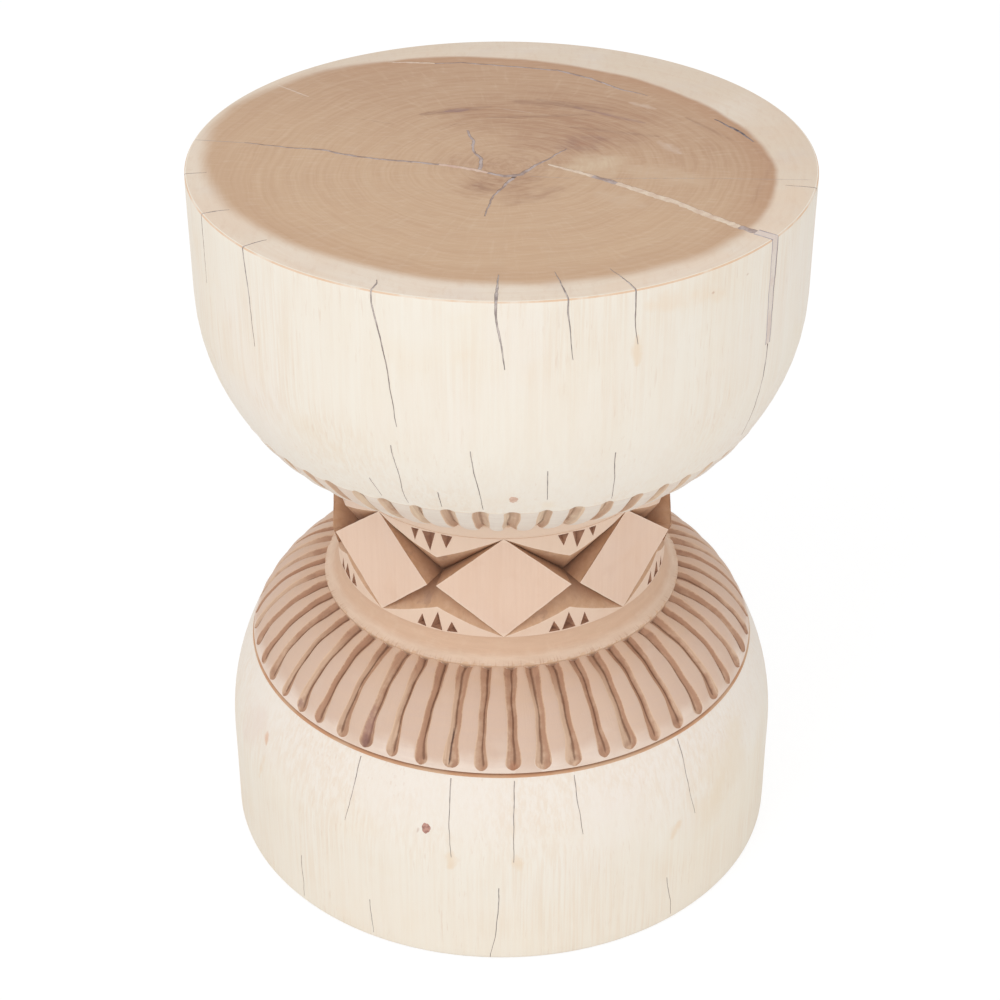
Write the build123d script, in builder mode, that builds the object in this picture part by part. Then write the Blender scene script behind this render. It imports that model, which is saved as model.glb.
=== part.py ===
from build123d import *
from math import atan2, cos, degrees, hypot, radians, sin, sqrt, tan
import os

# A drum table carved from one log: a bowl-shaped head, a waist of eight diamonds between
# two hollow rings, a fluted shoulder and a plain drum base.  The log is one solid.  The
# drying checks, shakes and knots in it hold separate inlays: filler, wood slivers, a wedge
# and pin knots, each seated in its own slot.
# Millimetres.  The origin is the middle of the underside, +Z is up, the front looks along -Y.
# Azimuths are degrees from the front, positive towards +X.

os.makedirs("parts", exist_ok=True)

# ------------------------------------------------------------- driving dimensions: the log
rim_radius = 197.5  # the table top
bowl_draw = 21.5  # how far the bowl draws in from the rim to the edge of its flutes
base_radius = 193.7  # the drum that stands on the floor
shoulder_draw = 17.7  # how far the drum draws in from its side to the V-groove
waist_radius = 113.0  # core of the waist, flush with the inner edge of the rings
ring_reach = 10.5  # how far the two hollow rings stand out of the core

# heights of the zones, stacked from the floor up
base_side_height = 72.0  # straight side of the drum
base_curve_height = 73.0  # its curve up to the V-groove
shoulder_rise = 48.0  # fluted shoulder
ring_step = 2.0  # drop from a ring's edge to the flutes
ring_height = 15.0  # hollow ring, one below the waist and one above
waist_height = 77.0  # band of diamonds
underside_rise = 43.0  # fluted underside of the bowl
bowl_curve_height = 74.0  # curve of the bowl up to its straight side
bowl_side_height = 79.0  # straight side of the bowl

shoulder_bulge = 7.5  # how far the shoulder's arc stands off its chord
underside_bulge = 6.0
ring_hollow = 3.6  # how deep the rings are hollowed behind their chord
rim_ease = 1.2  # sanded edge of the top
foot_ease = 3.0  # worn edge at the floor

# --------------------------------------------------------- driving dimensions: the carving
diamond_count = 8
diamond_phase = 0.8  # azimuth of the front diamond's middle
diamond_proud = 0.4  # flat of a diamond beyond the core of the waist, at its middle
side_tip_gap = 7.1  # between the side tips of two diamonds
diamond_root = 24.0  # how far a diamond's block reaches into the core
pocket_depth = 11.0  # depth of the pocket where four V-cuts meet
apex_gap = 19.0  # from the mid-height of the waist to the point of each light triangle
chip_depth = 3.6
chip_margin = 0.8  # from the edge of the ring to the base of a chip
chip_spacing = 11.0
# place: (width, height as a share of the light triangle's)
chip_sizes = {-1: (7.0, 0.51), 0: (9.0, 0.67), 1: (7.0, 0.51)}

shoulder_flute_count = 54
shoulder_flute_phase = 2.5  # azimuth of the first groove right of the front
underside_flute_count = 56
underside_flute_phase = 2.2
flute_depth = 3.2
flute_half_width = 3.1
flute_end_margin = 1.6  # land left between the end of a shoulder groove and the V-groove
flute_overrun = 1.6  # a groove runs past the ring by this much
underside_overrun = 3.0  # and a groove of the underside past the edge of the bowl
v_groove_depth = 2.4  # ring that parts the shoulder from the drum
v_groove_half_width = 1.8

# --------------------------------------------------------- driving dimensions: the inlays
drawn_rim_radius = 197.5  # the runs of the checks in the top are given on a top of this size
filler_depth = 7.0
sliver_depth = 9.0
rim_filler_width = 1.1
base_filler_width = 1.0
underside_filler_width = 0.8
wedge_azimuth = 53.8
wedge_length = 70.0  # down the side from the top
wedge_depth = 13.0  # in from the side
wedge_top_width = 5.4
wedge_toe_width = 3.6
glue_width = 0.8  # filler line on each side of the wedge
tail_check_drop = 138.0  # the check below the wedge ends this far under the top
knot_depth = 12.0
leg_bend_place = 0.2  # height of a leg's bend above its middle, as a share of half its length
leg_mouth_width = 1.4  # width of a leg at its mouth, bend and foot, as shares of its full width
leg_bend_width = 1.2
leg_foot_width = 0.8
rim_overrun = 2.0  # a leg runs past the rim before the turned form trims it
floor_overrun = 2.0  # and past the floor
skin_overhang = 6.0  # an inlay stands this far off the skin's chord before it is trimmed
knot_sides = 8
knot_proud = 0.1  # a knot is harder than the wood round it and stands out this far

# ------------------------------------------------------------------------ levels and radii
z_base_side = base_side_height
z_groove = z_base_side + base_curve_height
z_shoulder = z_groove + shoulder_rise
z_ring = z_shoulder + ring_step
z_waist = z_ring + ring_height
z_waist_top = z_waist + waist_height
z_upper_ring = z_waist_top + ring_height
z_underside = z_upper_ring + ring_step
z_flute_edge = z_underside + underside_rise
z_bowl_side = z_flute_edge + bowl_curve_height
z_top = z_bowl_side + bowl_side_height
z_waist_middle = z_waist + waist_height / 2
groove_radius = base_radius - shoulder_draw
flute_edge_radius = rim_radius - bowl_draw
ring_radius = waist_radius + ring_reach
cut_clearance = 6.0  # how far a cutter stands out of the surface it cuts
flute_clearance = ring_step / 2  # the same for the flutes, low enough to leave the ring's lip whole
v_groove_mouth = v_groove_half_width * (v_groove_depth + cut_clearance) / v_groove_depth


# ------------------------------------------------------------------------ geometry helpers
def facing(azimuth):
    """Upright plane through the axis: x to the right, y up, z out along the azimuth."""
    turn = radians(azimuth)
    return Plane(origin=(0, 0, 0), x_dir=(cos(turn), sin(turn), 0), z_dir=(sin(turn), -cos(turn), 0))


def curve_radius(side_radius, draw, height, off_side):
    """Radius of a curve that leaves a straight side tangentially, off_side away from it."""
    arc_radius = (draw**2 + height**2) / (2 * draw)
    return side_radius - arc_radius + sqrt(arc_radius**2 - off_side**2)


def skin_radius(z):
    """Radius of the plain skin of the bowl or of the drum at a height."""
    if z > z_flute_edge:
        off_side = max(z_bowl_side - z, 0)
        return curve_radius(rim_radius, bowl_draw, bowl_curve_height, off_side)
    off_side = max(z - z_base_side, 0)
    return curve_radius(base_radius, shoulder_draw, base_curve_height, off_side)


def skin_point(azimuth, z):
    """Point of the plain skin."""
    turn = radians(azimuth)
    return Vector(skin_radius(z) * sin(turn), -skin_radius(z) * cos(turn), z)


def strip_outline(points, widths):
    """Corners of a strip that follows points, with its own width at each."""
    left, right = [], []
    for index, (x, y) in enumerate(points):
        before = points[max(index - 1, 0)]
        after = points[min(index + 1, len(points) - 1)]
        run = hypot(after[0] - before[0], after[1] - before[1])
        across = (-(after[1] - before[1]) / run, (after[0] - before[0]) / run)
        half = widths[index] / 2
        left.append((x + across[0] * half, y + across[1] * half))
        right.append((x - across[0] * half, y - across[1] * half))
    return left + right[::-1]


def run_outline(run, first=0, last=None):
    """Corners of the strip along a run of (x, y, width), from one of its points to another."""
    last = len(run) - 1 if last is None else last
    spread = rim_radius / drawn_rim_radius
    corners = strip_outline([(x * spread, y * spread) for x, y, _ in run], [p[2] for p in run])
    left, right = corners[: len(run)], corners[len(run) :][::-1]
    return left[first : last + 1] + right[first : last + 1][::-1]


def skin_plane(high, low):
    """Plane on the chord between two skin points: y up the chord, z out of the wood."""
    middle = (high + low) * 0.5
    up = (high - low).normalized()
    outward = Vector(middle.X, middle.Y, 0)
    across = up.cross(outward).normalized()
    return Plane(origin=middle, x_dir=across, z_dir=across.cross(up))


def arc_centre(start, end, bulge):
    """Centre and radius of the arc from start to end that stands bulge off its chord.
    The bulge is to the right of the way from start to end."""
    chord = hypot(end[0] - start[0], end[1] - start[1])
    radius = chord**2 / (8 * bulge) + bulge / 2
    right = ((end[1] - start[1]) / chord, -(end[0] - start[0]) / chord)
    middle = ((start[0] + end[0]) / 2, (start[1] + end[1]) / 2)
    back = radius - bulge
    return (middle[0] - right[0] * back, middle[1] - right[1] * back), radius


# ------------------------------------------------------------------------- the turned form
drum_foot = (base_radius, 0)
drum_side_top = (base_radius, z_base_side)
groove_line = (groove_radius, z_groove)
shoulder_top = (ring_radius, z_shoulder)
ring_edge = (ring_radius, z_ring)
waist_foot = (waist_radius, z_waist)
waist_head = (waist_radius, z_waist_top)
upper_ring_edge = (ring_radius, z_upper_ring)
underside_foot = (ring_radius, z_underside)
flute_edge = (flute_edge_radius, z_flute_edge)
bowl_side_foot = (rim_radius, z_bowl_side)
rim = (rim_radius, z_top)

with BuildPart() as turned_form:
    with BuildSketch(Plane.XZ):
        with BuildLine():
            Polyline((0, z_top), (0, 0), drum_foot, drum_side_top)
            TangentArc(drum_side_top, groove_line, tangent=(0, 1))
            SagittaArc(groove_line, shoulder_top, -shoulder_bulge)
            Line(shoulder_top, ring_edge)
            SagittaArc(ring_edge, waist_foot, ring_hollow)
            Line(waist_foot, waist_head)
            SagittaArc(waist_head, upper_ring_edge, ring_hollow)
            Line(upper_ring_edge, underside_foot)
            SagittaArc(underside_foot, flute_edge, -underside_bulge)
            TangentArc(bowl_side_foot, flute_edge, tangent=(0, -1))
            Polyline(bowl_side_foot, rim, (0, z_top))
        make_face()
    revolve(axis=Axis.Z)
    levels = turned_form.edges().filter_by(GeomType.CIRCLE).group_by(Axis.Z)
    chamfer(levels[-1], length=rim_ease)
    chamfer(levels[0], length=foot_ease)


# ---------------------------------------------------------------------- cutters for flutes
def flute_cutter(start, end, bulge, low_run, high_run):
    """V-shaped cutter that follows an arc of the profile, in the XZ plane, point inwards.
    It runs past the arc's lower and upper end by low_run and high_run, or stops short of them."""
    centre, radius = arc_centre(start, end, bulge)
    origin = Vector(centre[0], 0, centre[1])
    angles = [degrees(atan2(p[1] - centre[1], p[0] - centre[0])) for p in (start, end)]
    low = min(angles) - degrees(low_run / radius)
    high = max(angles) + degrees(high_run / radius)
    turn = radians(high)
    section = Plane(origin=origin, x_dir=(cos(turn), 0, sin(turn)), z_dir=(-sin(turn), 0, cos(turn)))
    mouth = flute_half_width * (flute_depth + flute_clearance) / flute_depth
    with BuildPart() as cutter:
        with BuildSketch(section):
            Polygon(
                (radius - flute_depth, 0),
                (radius + flute_clearance, -mouth),
                (radius + flute_clearance, mouth),
                align=None,
            )
        revolve(axis=Axis(origin, (0, 1, 0)), revolution_arc=high - low)
    return cutter.part


shoulder_flute = flute_cutter(groove_line, shoulder_top, shoulder_bulge, -flute_end_margin, flute_overrun)
underside_flute = flute_cutter(
    underside_foot, flute_edge, underside_bulge, flute_overrun, underside_overrun
)
front = -90  # the front's direction in the plane, from +X

# ------------------------------------------------------------------ points of the diamonds
diamond_flat = waist_radius + diamond_proud
diamond_tip_height = waist_height / 2
half_pitch = radians(180 / diamond_count)
diamond_half_width = diamond_flat * tan(half_pitch) - side_tip_gap / 2
pocket_radius = waist_radius - pocket_depth
pocket = Vector(pocket_radius * sin(half_pitch), 0, pocket_radius * cos(half_pitch))
triangle_point = Vector(waist_radius * sin(half_pitch), apex_gap, waist_radius * cos(half_pitch))
side_tip = Vector(diamond_half_width, 0, diamond_flat)
upper_tip = Vector(0, diamond_tip_height, diamond_flat)
overshoot = 1.7  # a cutter's mouth, as a multiple of the way from the pocket to the surface
tip_overshoot = 1.01  # the same for the cutter's far tip
v_cut_mouth = [pocket + (end - pocket) * overshoot for end in (side_tip, triangle_point)]
v_cut_corners = [pocket, *v_cut_mouth, pocket + (upper_tip - pocket) * tip_overshoot]
# the mouth's side end, turned to face the ridge between two diamonds
side_x = v_cut_mouth[0].X * cos(half_pitch) - v_cut_mouth[0].Z * sin(half_pitch)
side_z = v_cut_mouth[0].X * sin(half_pitch) + v_cut_mouth[0].Z * cos(half_pitch)
point_z = hypot(v_cut_mouth[1].X, v_cut_mouth[1].Z)
pocket_corners = [(0, 0, pocket_radius), (side_x, 0, side_z), (-side_x, 0, side_z)]
pocket_corners += [(0, up * v_cut_mouth[1].Y, point_z) for up in (1, -1)]
diamond_planes = [
    Plane(origin=(0, 0, z_waist_middle), x_dir=p.x_dir, z_dir=p.z_dir)
    for p in [facing(diamond_phase + 360 / diamond_count * k) for k in range(diamond_count)]
]
corner_planes = [
    Plane(origin=(0, 0, z_waist_middle), x_dir=p.x_dir, z_dir=p.z_dir)
    for p in [facing(diamond_phase + 360 / diamond_count * (k + 0.5)) for k in range(diamond_count)]
]


def chip_corners(place, up):
    """Corners of the pyramid that a chip cut takes out of a light triangle.
    Its base lies along the ring, above the waist if up is 1 and below it if up is -1."""
    width, height_share = chip_sizes[place]
    x = place * chip_spacing
    base = up * (diamond_tip_height - chip_margin)
    point = base - up * height_share * (diamond_tip_height - apex_gap)
    face = [(x - width / 2, base), (x + width / 2, base), (x, point)]
    surface = [(px, py, waist_radius) for px, py in face]
    mouth = [(px, py, waist_radius + cut_clearance) for px, py in face]
    return surface + mouth + [(x, base, waist_radius - chip_depth)]


# --------------------------------------------------------------- inlays in the top surface
# Each check is one run of (x, y, width) along the crack.  It is filled by the pieces named
# after it, each from one point of the run to another, so neighbours meet end to end.
left_check_run = [
    (-163, 20, 0.8),
    (-135, 13, 1.5),
    (-113, 9.5, 2.0),
    (-100, 2, 2.4),
    (-80, -4, 2.6),
    (-52, -10, 2.4),
    (-39, -13.6, 2.6),
    (-28, -16.5, 3.2),
    (-18, -20.6, 3.4),
    (-9, -26.2, 2.8),
    (2, -30.5, 3.2),
    (12, -28, 3.4),
    (20, -16, 1.8),
    (29, -6, 1.6),
    (41, 11, 0.8),
]
right_check_run = [
    (29, -13, 1.6),
    (41, -21, 3.0),
    (56, -30.5, 3.4),
    (63, -36, 4.2),
    (70, -41.5, 3.6),
    (88, -55, 4.4),
    (107, -71, 4.2),
    (124, -88, 4.6),
    (139.5, -102.5, 4.4),
    (144, -105.5, 5.0),
    (156, -113.5, 5.2),
]
back_shake_run = [
    (-78, 158, 1.0),
    (-62, 156.5, 2.6),
    (-46, 155, 1.4),
    (-28, 157, 1.4),
    (0, 151, 1.8),
    (22, 146, 1.6),
    (38, 143, 2.2),
    (60, 128, 2.4),
    (79, 109, 1.8),
    (97, 98, 0.8),
]
right_shake_run = [(138, 58, 0.9), (150, 42, 2.4), (160, 22, 1.0)]
upper_heart_run = [(-22, 40, 1.0), (-18, 24, 1.8), (-18, 8, 1.5), (-12.5, -6, 2.4), (-15.5, -22, 2.2)]
lower_heart_run = [(10.5, -28, 2.4), (3, -42, 2.0), (-5, -60, 1.6), (-10, -88, 0.8)]
# piece: (run, first point, last point, depth)
top_inlays = {
    "left_check_filler": (left_check_run, 0, 6, filler_depth),
    "left_check_sliver": (left_check_run, 6, 9, sliver_depth),
    "heart_check_filler": (left_check_run, 9, 14, filler_depth),
    "upper_heart_filler": (upper_heart_run, 0, 4, filler_depth),
    "right_check_inner_sliver": (right_check_run, 0, 2, sliver_depth),
    "right_check_filler": (right_check_run, 2, 4, filler_depth),
    "right_check_long_sliver": (right_check_run, 4, 8, sliver_depth),
    "right_rim_filler": (right_check_run, 8, 10, filler_depth),
    "back_shake_sliver": (back_shake_run, 0, 2, sliver_depth),
    "back_shake_filler": (back_shake_run, 2, 9, filler_depth),
    "right_shake_filler": (right_shake_run, 0, 2, filler_depth),
}
heart_branch = {"heart_check_filler": lower_heart_run}  # poured in one with its piece
# piece whose end is cut to fit against others
butts_against = {
    "upper_heart_filler": ["left_check_sliver"],
    "right_rim_filler": ["side_wedge", "side_wedge_filler"],
}

# azimuth, length on the top, lean of that leg, drop down the side, azimuth at the foot
rim_checks = [
    (-82.0, 14.0, 0.0, 0.0, -82.0),
    (-64.6, 17.0, 2.0, 46.0, -65.2),
    (-49.2, 16.0, 1.5, 63.0, -47.9),
    (-21.6, 11.0, -2.5, 86.0, -18.1),
    (-0.9, 33.0, 1.2, 43.0, 1.0),
    (10.8, 34.0, -0.6, 39.0, 11.8),
    (22.3, 29.0, -3.0, 35.0, 22.9),
    (76.0, 19.0, -1.0, 0.0, 76.0),
]
# azimuth and height of the upper end, then of the lower end: these stand on the flutes' edge
underside_checks = [
    (-24.8, z_flute_edge + 21, -23.8, z_flute_edge + 5),
    (-19.2, z_flute_edge + 53, -17.8, z_flute_edge + 3),
    (-11.6, z_flute_edge + 19, -11.5, z_flute_edge + 4),
    (-5.2, z_flute_edge + 55, -3.5, z_flute_edge + 4),
    (8.0, z_flute_edge + 39, 8.3, z_flute_edge + 13),
    (20.0, z_flute_edge + 47, 21.3, z_flute_edge + 4),
]
# these hang from the V-groove or rise from the floor, and one runs out through the floor
base_checks = [
    (-45.1, 42, -45.5, 5),
    (-31.2, z_groove - 3, -32.7, z_groove - 50),
    (-27.3, 34, -27.1, 5),
    (-10.6, z_groove - 3, -9.7, z_groove - 57),
    (-0.5, 64, -2.1, -floor_overrun),
    (2.8, z_groove - 3, 3.0, z_groove - 59),
    (15.5, z_groove - 3, 16.3, z_groove - 43),
    (35.5, 41, 36.8, 5),
    (41.1, z_groove - 3, 42.3, z_groove - 60),
]
# azimuth, height, width, tallness
pin_knots = {
    "bowl_pin_knot": (2.2, z_flute_edge + 15, 5.2, 5.6),
    "base_pin_knot": (-15.0, z_groove - 38, 5.8, 7.3),
}


# -------------------------------------------- the wedge that closes the open end of a check
inlays = {}
wedge_plane = facing(wedge_azimuth).offset(rim_radius + skin_overhang)
wedge_run = [(0, z_top), (0, z_top - wedge_length)]
wedge_widths = [wedge_top_width, wedge_toe_width]
glued_widths = [width + 2 * glue_width for width in wedge_widths]

with BuildPart() as side_wedge:
    with BuildSketch(wedge_plane):
        Polygon(*strip_outline(wedge_run, wedge_widths), align=None)
    extrude(amount=-(wedge_depth + skin_overhang))
    add(turned_form.part, mode=Mode.INTERSECT)
inlays["side_wedge"] = side_wedge.part

with BuildPart() as side_wedge_filler:
    with BuildSketch(wedge_plane):
        Polygon(*strip_outline(wedge_run, glued_widths), align=None)
        Polygon(*strip_outline(wedge_run, wedge_widths), align=None, mode=Mode.SUBTRACT)
    extrude(amount=-(wedge_depth + skin_overhang))
    add(turned_form.part, mode=Mode.INTERSECT)
inlays["side_wedge_filler"] = side_wedge_filler.part

# ----------------------------------------------------------------- inlays of the table top
for name, (run, first, last, depth) in top_inlays.items():
    with BuildPart() as inlay:
        with BuildSketch(Plane.XY.offset(z_top)):
            Polygon(*run_outline(run, first, last), align=None)
            if name in heart_branch:
                Polygon(*run_outline(heart_branch[name]), align=None)
        extrude(amount=-depth)
        for other in butts_against.get(name, []):
            add(inlays[other], mode=Mode.SUBTRACT)
    inlays[name] = inlay.part


# --------------------------------------------------------------- checks in the upright skin
def check_leg(high, low, width, overrun=0.0):
    """Filler in a check that runs down the skin, with a slight bend.  The turned form trims it."""
    half = (high - low).length / 2
    with BuildSketch(skin_plane(high, low).offset(skin_overhang)) as outline:
        Polygon(
            *strip_outline(
                [(0, half + overrun), (width, half * leg_bend_place), (0, -half)],
                [width * share for share in (leg_mouth_width, leg_bend_width, leg_foot_width)],
            ),
            align=None,
        )
    extrude(outline.sketch, amount=-(filler_depth + skin_overhang))


for number, (azimuth, length, lean, drop, foot_azimuth) in enumerate(rim_checks, start=1):
    side = facing(azimuth)
    with BuildPart() as inlay:
        with BuildSketch(Plane(origin=(0, 0, z_top), x_dir=side.x_dir, z_dir=(0, 0, 1))):
            Polygon(
                *strip_outline(
                    [(0, -rim_radius - rim_overrun), (0, -rim_radius), (lean, length - rim_radius)],
                    [rim_filler_width, rim_filler_width, rim_filler_width * leg_foot_width],
                ),
                align=None,
            )
        extrude(amount=-filler_depth)
        if drop:
            check_leg(
                skin_point(azimuth, z_top),
                skin_point(foot_azimuth, z_top - drop),
                rim_filler_width,
                rim_overrun,
            )
        add(turned_form.part, mode=Mode.INTERSECT)
    inlays[f"rim_check_filler_{number}"] = inlay.part

skin_checks = [("underside_check_filler", underside_filler_width, underside_checks)]
skin_checks += [("base_check_filler", base_filler_width, base_checks)]
for name, width, checks in skin_checks:
    for number, (azimuth, height, foot_azimuth, foot_height) in enumerate(checks, start=1):
        with BuildPart() as inlay:
            check_leg(skin_point(azimuth, height), skin_point(foot_azimuth, foot_height), width)
            add(turned_form.part, mode=Mode.INTERSECT)
        inlays[f"{name}_{number}"] = inlay.part

# the check that goes on below the wedge, cut off square at the wedge's toe
with BuildPart() as tail_check_filler:
    check_leg(
        skin_point(wedge_azimuth, z_top - wedge_length),
        skin_point(wedge_azimuth, z_top - tail_check_drop),
        rim_filler_width,
        rim_overrun,
    )
    add(turned_form.part, mode=Mode.INTERSECT)
    add([side_wedge.part, side_wedge_filler.part], mode=Mode.SUBTRACT)
inlays["tail_check_filler"] = tail_check_filler.part

# ------------------------------------------------------------------------------- pin knots
for name, (azimuth, height, width, tall) in pin_knots.items():
    above, below = (skin_point(azimuth, height + tall * end) for end in (0.5, -0.5))
    with BuildPart() as inlay:
        with BuildSketch(skin_plane(above, below).offset(knot_proud)):
            turns = [radians(360 / knot_sides * k) for k in range(knot_sides)]
            Polygon(*[(width / 2 * cos(turn), tall / 2 * sin(turn)) for turn in turns], align=None)
        extrude(amount=-knot_depth)
    inlays[name] = inlay.part

# -------------------------------------------------------------------------- the carved log
with BuildPart() as carved_log:
    add(turned_form.part)
    # eight flat diamonds stand out of the core of the waist
    with BuildSketch(*[plane.offset(diamond_flat) for plane in diamond_planes]):
        Polygon(
            (0, diamond_tip_height),
            (diamond_half_width, 0),
            (0, -diamond_tip_height),
            (-diamond_half_width, 0),
            align=None,
        )
    extrude(amount=-diamond_root)
    # four V-cuts run from each pair of pockets to the tips of a diamond
    with Locations(*diamond_planes):
        for across in (1, -1):
            for up in (1, -1):
                ConvexPolyhedron(
                    [(across * c.X, up * c.Y, c.Z) for c in v_cut_corners], mode=Mode.SUBTRACT
                )
    with Locations(*corner_planes):
        # the pocket between the side tips of two diamonds
        ConvexPolyhedron(pocket_corners, mode=Mode.SUBTRACT)
        # three chips out of each light triangle
        for place in chip_sizes:
            for up in (1, -1):
                ConvexPolyhedron(chip_corners(place, up), mode=Mode.SUBTRACT)
    # grooves between the flutes
    with PolarLocations(0, shoulder_flute_count, start_angle=front + shoulder_flute_phase):
        add(shoulder_flute, mode=Mode.SUBTRACT)
    with PolarLocations(0, underside_flute_count, start_angle=front + underside_flute_phase):
        add(underside_flute, mode=Mode.SUBTRACT)
    # V-groove between the shoulder and the drum
    with BuildSketch(Plane.XZ):
        Polygon(
            (groove_radius - v_groove_depth, z_groove),
            (groove_radius + cut_clearance, z_groove - v_groove_mouth),
            (groove_radius + cut_clearance, z_groove + v_groove_mouth),
            align=None,
        )
    revolve(axis=Axis.Z, mode=Mode.SUBTRACT)
    # slots that the inlays fill
    add(list(inlays.values()), mode=Mode.SUBTRACT)

for name, piece in {"carved_log": carved_log.part, **inlays}.items():
    piece.label = name
    export_step(piece, f"parts/{name}.step")
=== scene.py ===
"""Drum table carved from one log, with its drying checks filled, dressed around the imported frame.

Lengths are millimetres until a mesh takes them in metres, and the node trees of the finishes
work in metres.  Azimuths are degrees from the front, positive towards +X, and heights are above
the floor.
"""

import random
from math import atan2, ceil, cos, degrees, hypot, inf, pi, radians, sin, sqrt, tau

import bmesh
import bpy
from bpy.props import FloatProperty, FloatVectorProperty, IntProperty, PointerProperty
from mathutils import Matrix, Vector, noise


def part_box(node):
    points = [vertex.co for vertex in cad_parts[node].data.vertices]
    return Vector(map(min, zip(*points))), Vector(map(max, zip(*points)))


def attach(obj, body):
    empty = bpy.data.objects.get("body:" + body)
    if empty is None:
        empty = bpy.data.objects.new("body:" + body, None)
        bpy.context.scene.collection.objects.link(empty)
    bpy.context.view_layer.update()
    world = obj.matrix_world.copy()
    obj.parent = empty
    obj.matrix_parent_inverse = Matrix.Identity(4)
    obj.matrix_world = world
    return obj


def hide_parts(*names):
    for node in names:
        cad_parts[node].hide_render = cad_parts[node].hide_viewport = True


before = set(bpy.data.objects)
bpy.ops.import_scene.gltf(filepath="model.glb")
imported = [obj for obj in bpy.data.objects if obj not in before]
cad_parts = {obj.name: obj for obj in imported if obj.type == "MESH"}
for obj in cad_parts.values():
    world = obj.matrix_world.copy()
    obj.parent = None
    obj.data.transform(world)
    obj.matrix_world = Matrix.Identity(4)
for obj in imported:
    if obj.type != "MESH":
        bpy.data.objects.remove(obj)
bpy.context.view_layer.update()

bl_info = {
    "name": "Carved Log Drum Table",
    "version": (1, 0, 0),
    "blender": (4, 5, 0),
    "location": "View3D > Sidebar > Drum Table",
    "description": "Carves a log drum table and fills its drying checks",
    "category": "Add Mesh",
}

MM = 0.001
log_low, log_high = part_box("carved_log")


# ------------------------------------------------------------------------------- the sizes
def size_of(name, description, default):
    """A length in millimetres that a user may change."""
    return FloatProperty(name=name, description=description, default=default, min=0.1)


def count_of(name, description, default):
    """A number of flutes that a user may change."""
    return IntProperty(name=name, description=description, default=default, min=8)


def colour_of(name, description, default):
    """A colour that a user may change."""
    return FloatVectorProperty(
        name=name, description=description, subtype="COLOR", default=default, min=0, max=1
    )


class DrumTableSizes(bpy.types.PropertyGroup):
    """The turned form, in millimetres."""

    top: size_of("Height", "Height of the table top", log_high[2] / MM)
    rim: size_of("Top radius", "Radius of the table top", (log_high[0] - log_low[0]) / 2 / MM)
    base: size_of("Base radius", "Radius of the drum", 193.7)
    waist: size_of("Waist radius", "Core of the waist", 113.0)
    reach: size_of("Ring reach", "How far the hollow rings stand out of the core", 10.5)
    flute_depth: size_of("Flute depth", "Depth of a groove between two flutes", 3.3)
    flutes_low: count_of("Shoulder flutes", "Flutes on the shoulder", 54)
    flutes_high: count_of("Bowl flutes", "Flutes under the bowl", 56)


class DrumTableColours(bpy.types.PropertyGroup):
    """The finishes."""

    heartwood: colour_of("Heartwood", "Middle of the end grain", (0.615, 0.418, 0.272))
    sapwood: colour_of("Sapwood", "Outer ring of the end grain", (0.800, 0.682, 0.560))
    bleached: colour_of("Bleached side", "Sanded and bleached skin", (0.875, 0.812, 0.712))
    land: colour_of("Lands", "Flat of a flute between two grooves", (0.675, 0.487, 0.376))
    # Grooves: the brown of a groove's shaded wall, part the wood's own brown and part painted shade
    groove: colour_of("Grooves", "Wood at the bottom of a groove", (0.500, 0.290, 0.190))
    # Rings: the colour deep in a hollow ring, darkened there with painted shade; the lip is lighter
    ring: colour_of("Rings", "Hollow of the rings at the waist", (0.690, 0.470, 0.330))
    facet: colour_of("Diamonds", "Flat faces of the waist", (0.820, 0.605, 0.470))
    wall: colour_of("V-cuts", "Walls between the diamonds", (0.580, 0.350, 0.212))


sizes = {}

# heights of the zones, stacked from the floor up as in the frame
Z_SIDE, Z_GROOVE, Z_SHOULDER, Z_RING, Z_WAIST = 72.0, 145.0, 193.0, 195.0, 210.0
Z_WAIST_TOP, Z_UPPER_RING, Z_UNDERSIDE = 287.0, 302.0, 304.0
Z_FLUTE_EDGE, Z_BOWL_SIDE = 347.0, 421.0
Z_MIDDLE = (Z_WAIST + Z_WAIST_TOP) / 2
# how far the skin draws in from its straight side to the V-groove and to the fluted edge
SHOULDER_DRAW, BOWL_DRAW = 17.7, 21.5
# how far the arcs of the shoulder, the underside and the rings stand off their chords
SHOULDER_BULGE, UNDERSIDE_BULGE, RING_HOLLOW = 7.5, 6.0, 3.6
RING_STEPS = 9
RIM_EASE, FOOT_EASE, LIP_DEPTH = 1.2, 3.0, 2.5
EASE = (0, 22.5, 45, 67.5, 90)  # angles along a rounded edge
WAVER, WAVER_SPAN = 0.35, 60  # how far a hand-shaped skin wavers, and over what length
SMOOTH_ANGLE = 34
# material slots of the log
END_GRAIN, BLEACHED, LAND, GROOVE, RING, FACET, WALL, CHIP, SLOT = range(9)
# what the finishes read from the log's points
MARKS = ("cut", "edge", "hand", "tone")


# ------------------------------------------------------------------------ geometry helpers
def at(azimuth, radius, height):
    """Point in metres from an azimuth in degrees and a radius and height in millimetres."""
    turn = radians(azimuth)
    return Vector((radius * sin(turn) * MM, -radius * cos(turn) * MM, height * MM))


def arc_station(start, end, bulge, share):
    """Point at a share of the way along the arc from start to end, and its normal away from the
    axis.  The bulge stands to the right of the way, or to the left of it if it is negative."""
    chord = Vector((end[0] - start[0], end[1] - start[1]))
    right = Vector((chord.y, -chord.x)) / chord.length
    side = 1 if bulge > 0 else -1
    bulge = abs(bulge)
    radius = chord.length**2 / (8 * bulge) + bulge / 2
    centre = (Vector(start) + Vector(end)) / 2 - right * side * (radius - bulge)
    first, last = (atan2(p[1] - centre.y, p[0] - centre.x) for p in (start, end))
    sweep = (last - first + pi) % tau - pi
    spoke = Vector((cos(first + sweep * share), sin(first + sweep * share)))
    return centre + spoke * radius, spoke if spoke.x > 0 else -spoke


def arc_points(start, end, bulge, count):
    return [tuple(arc_station(start, end, bulge, k / count)[0]) for k in range(count + 1)]


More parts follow.
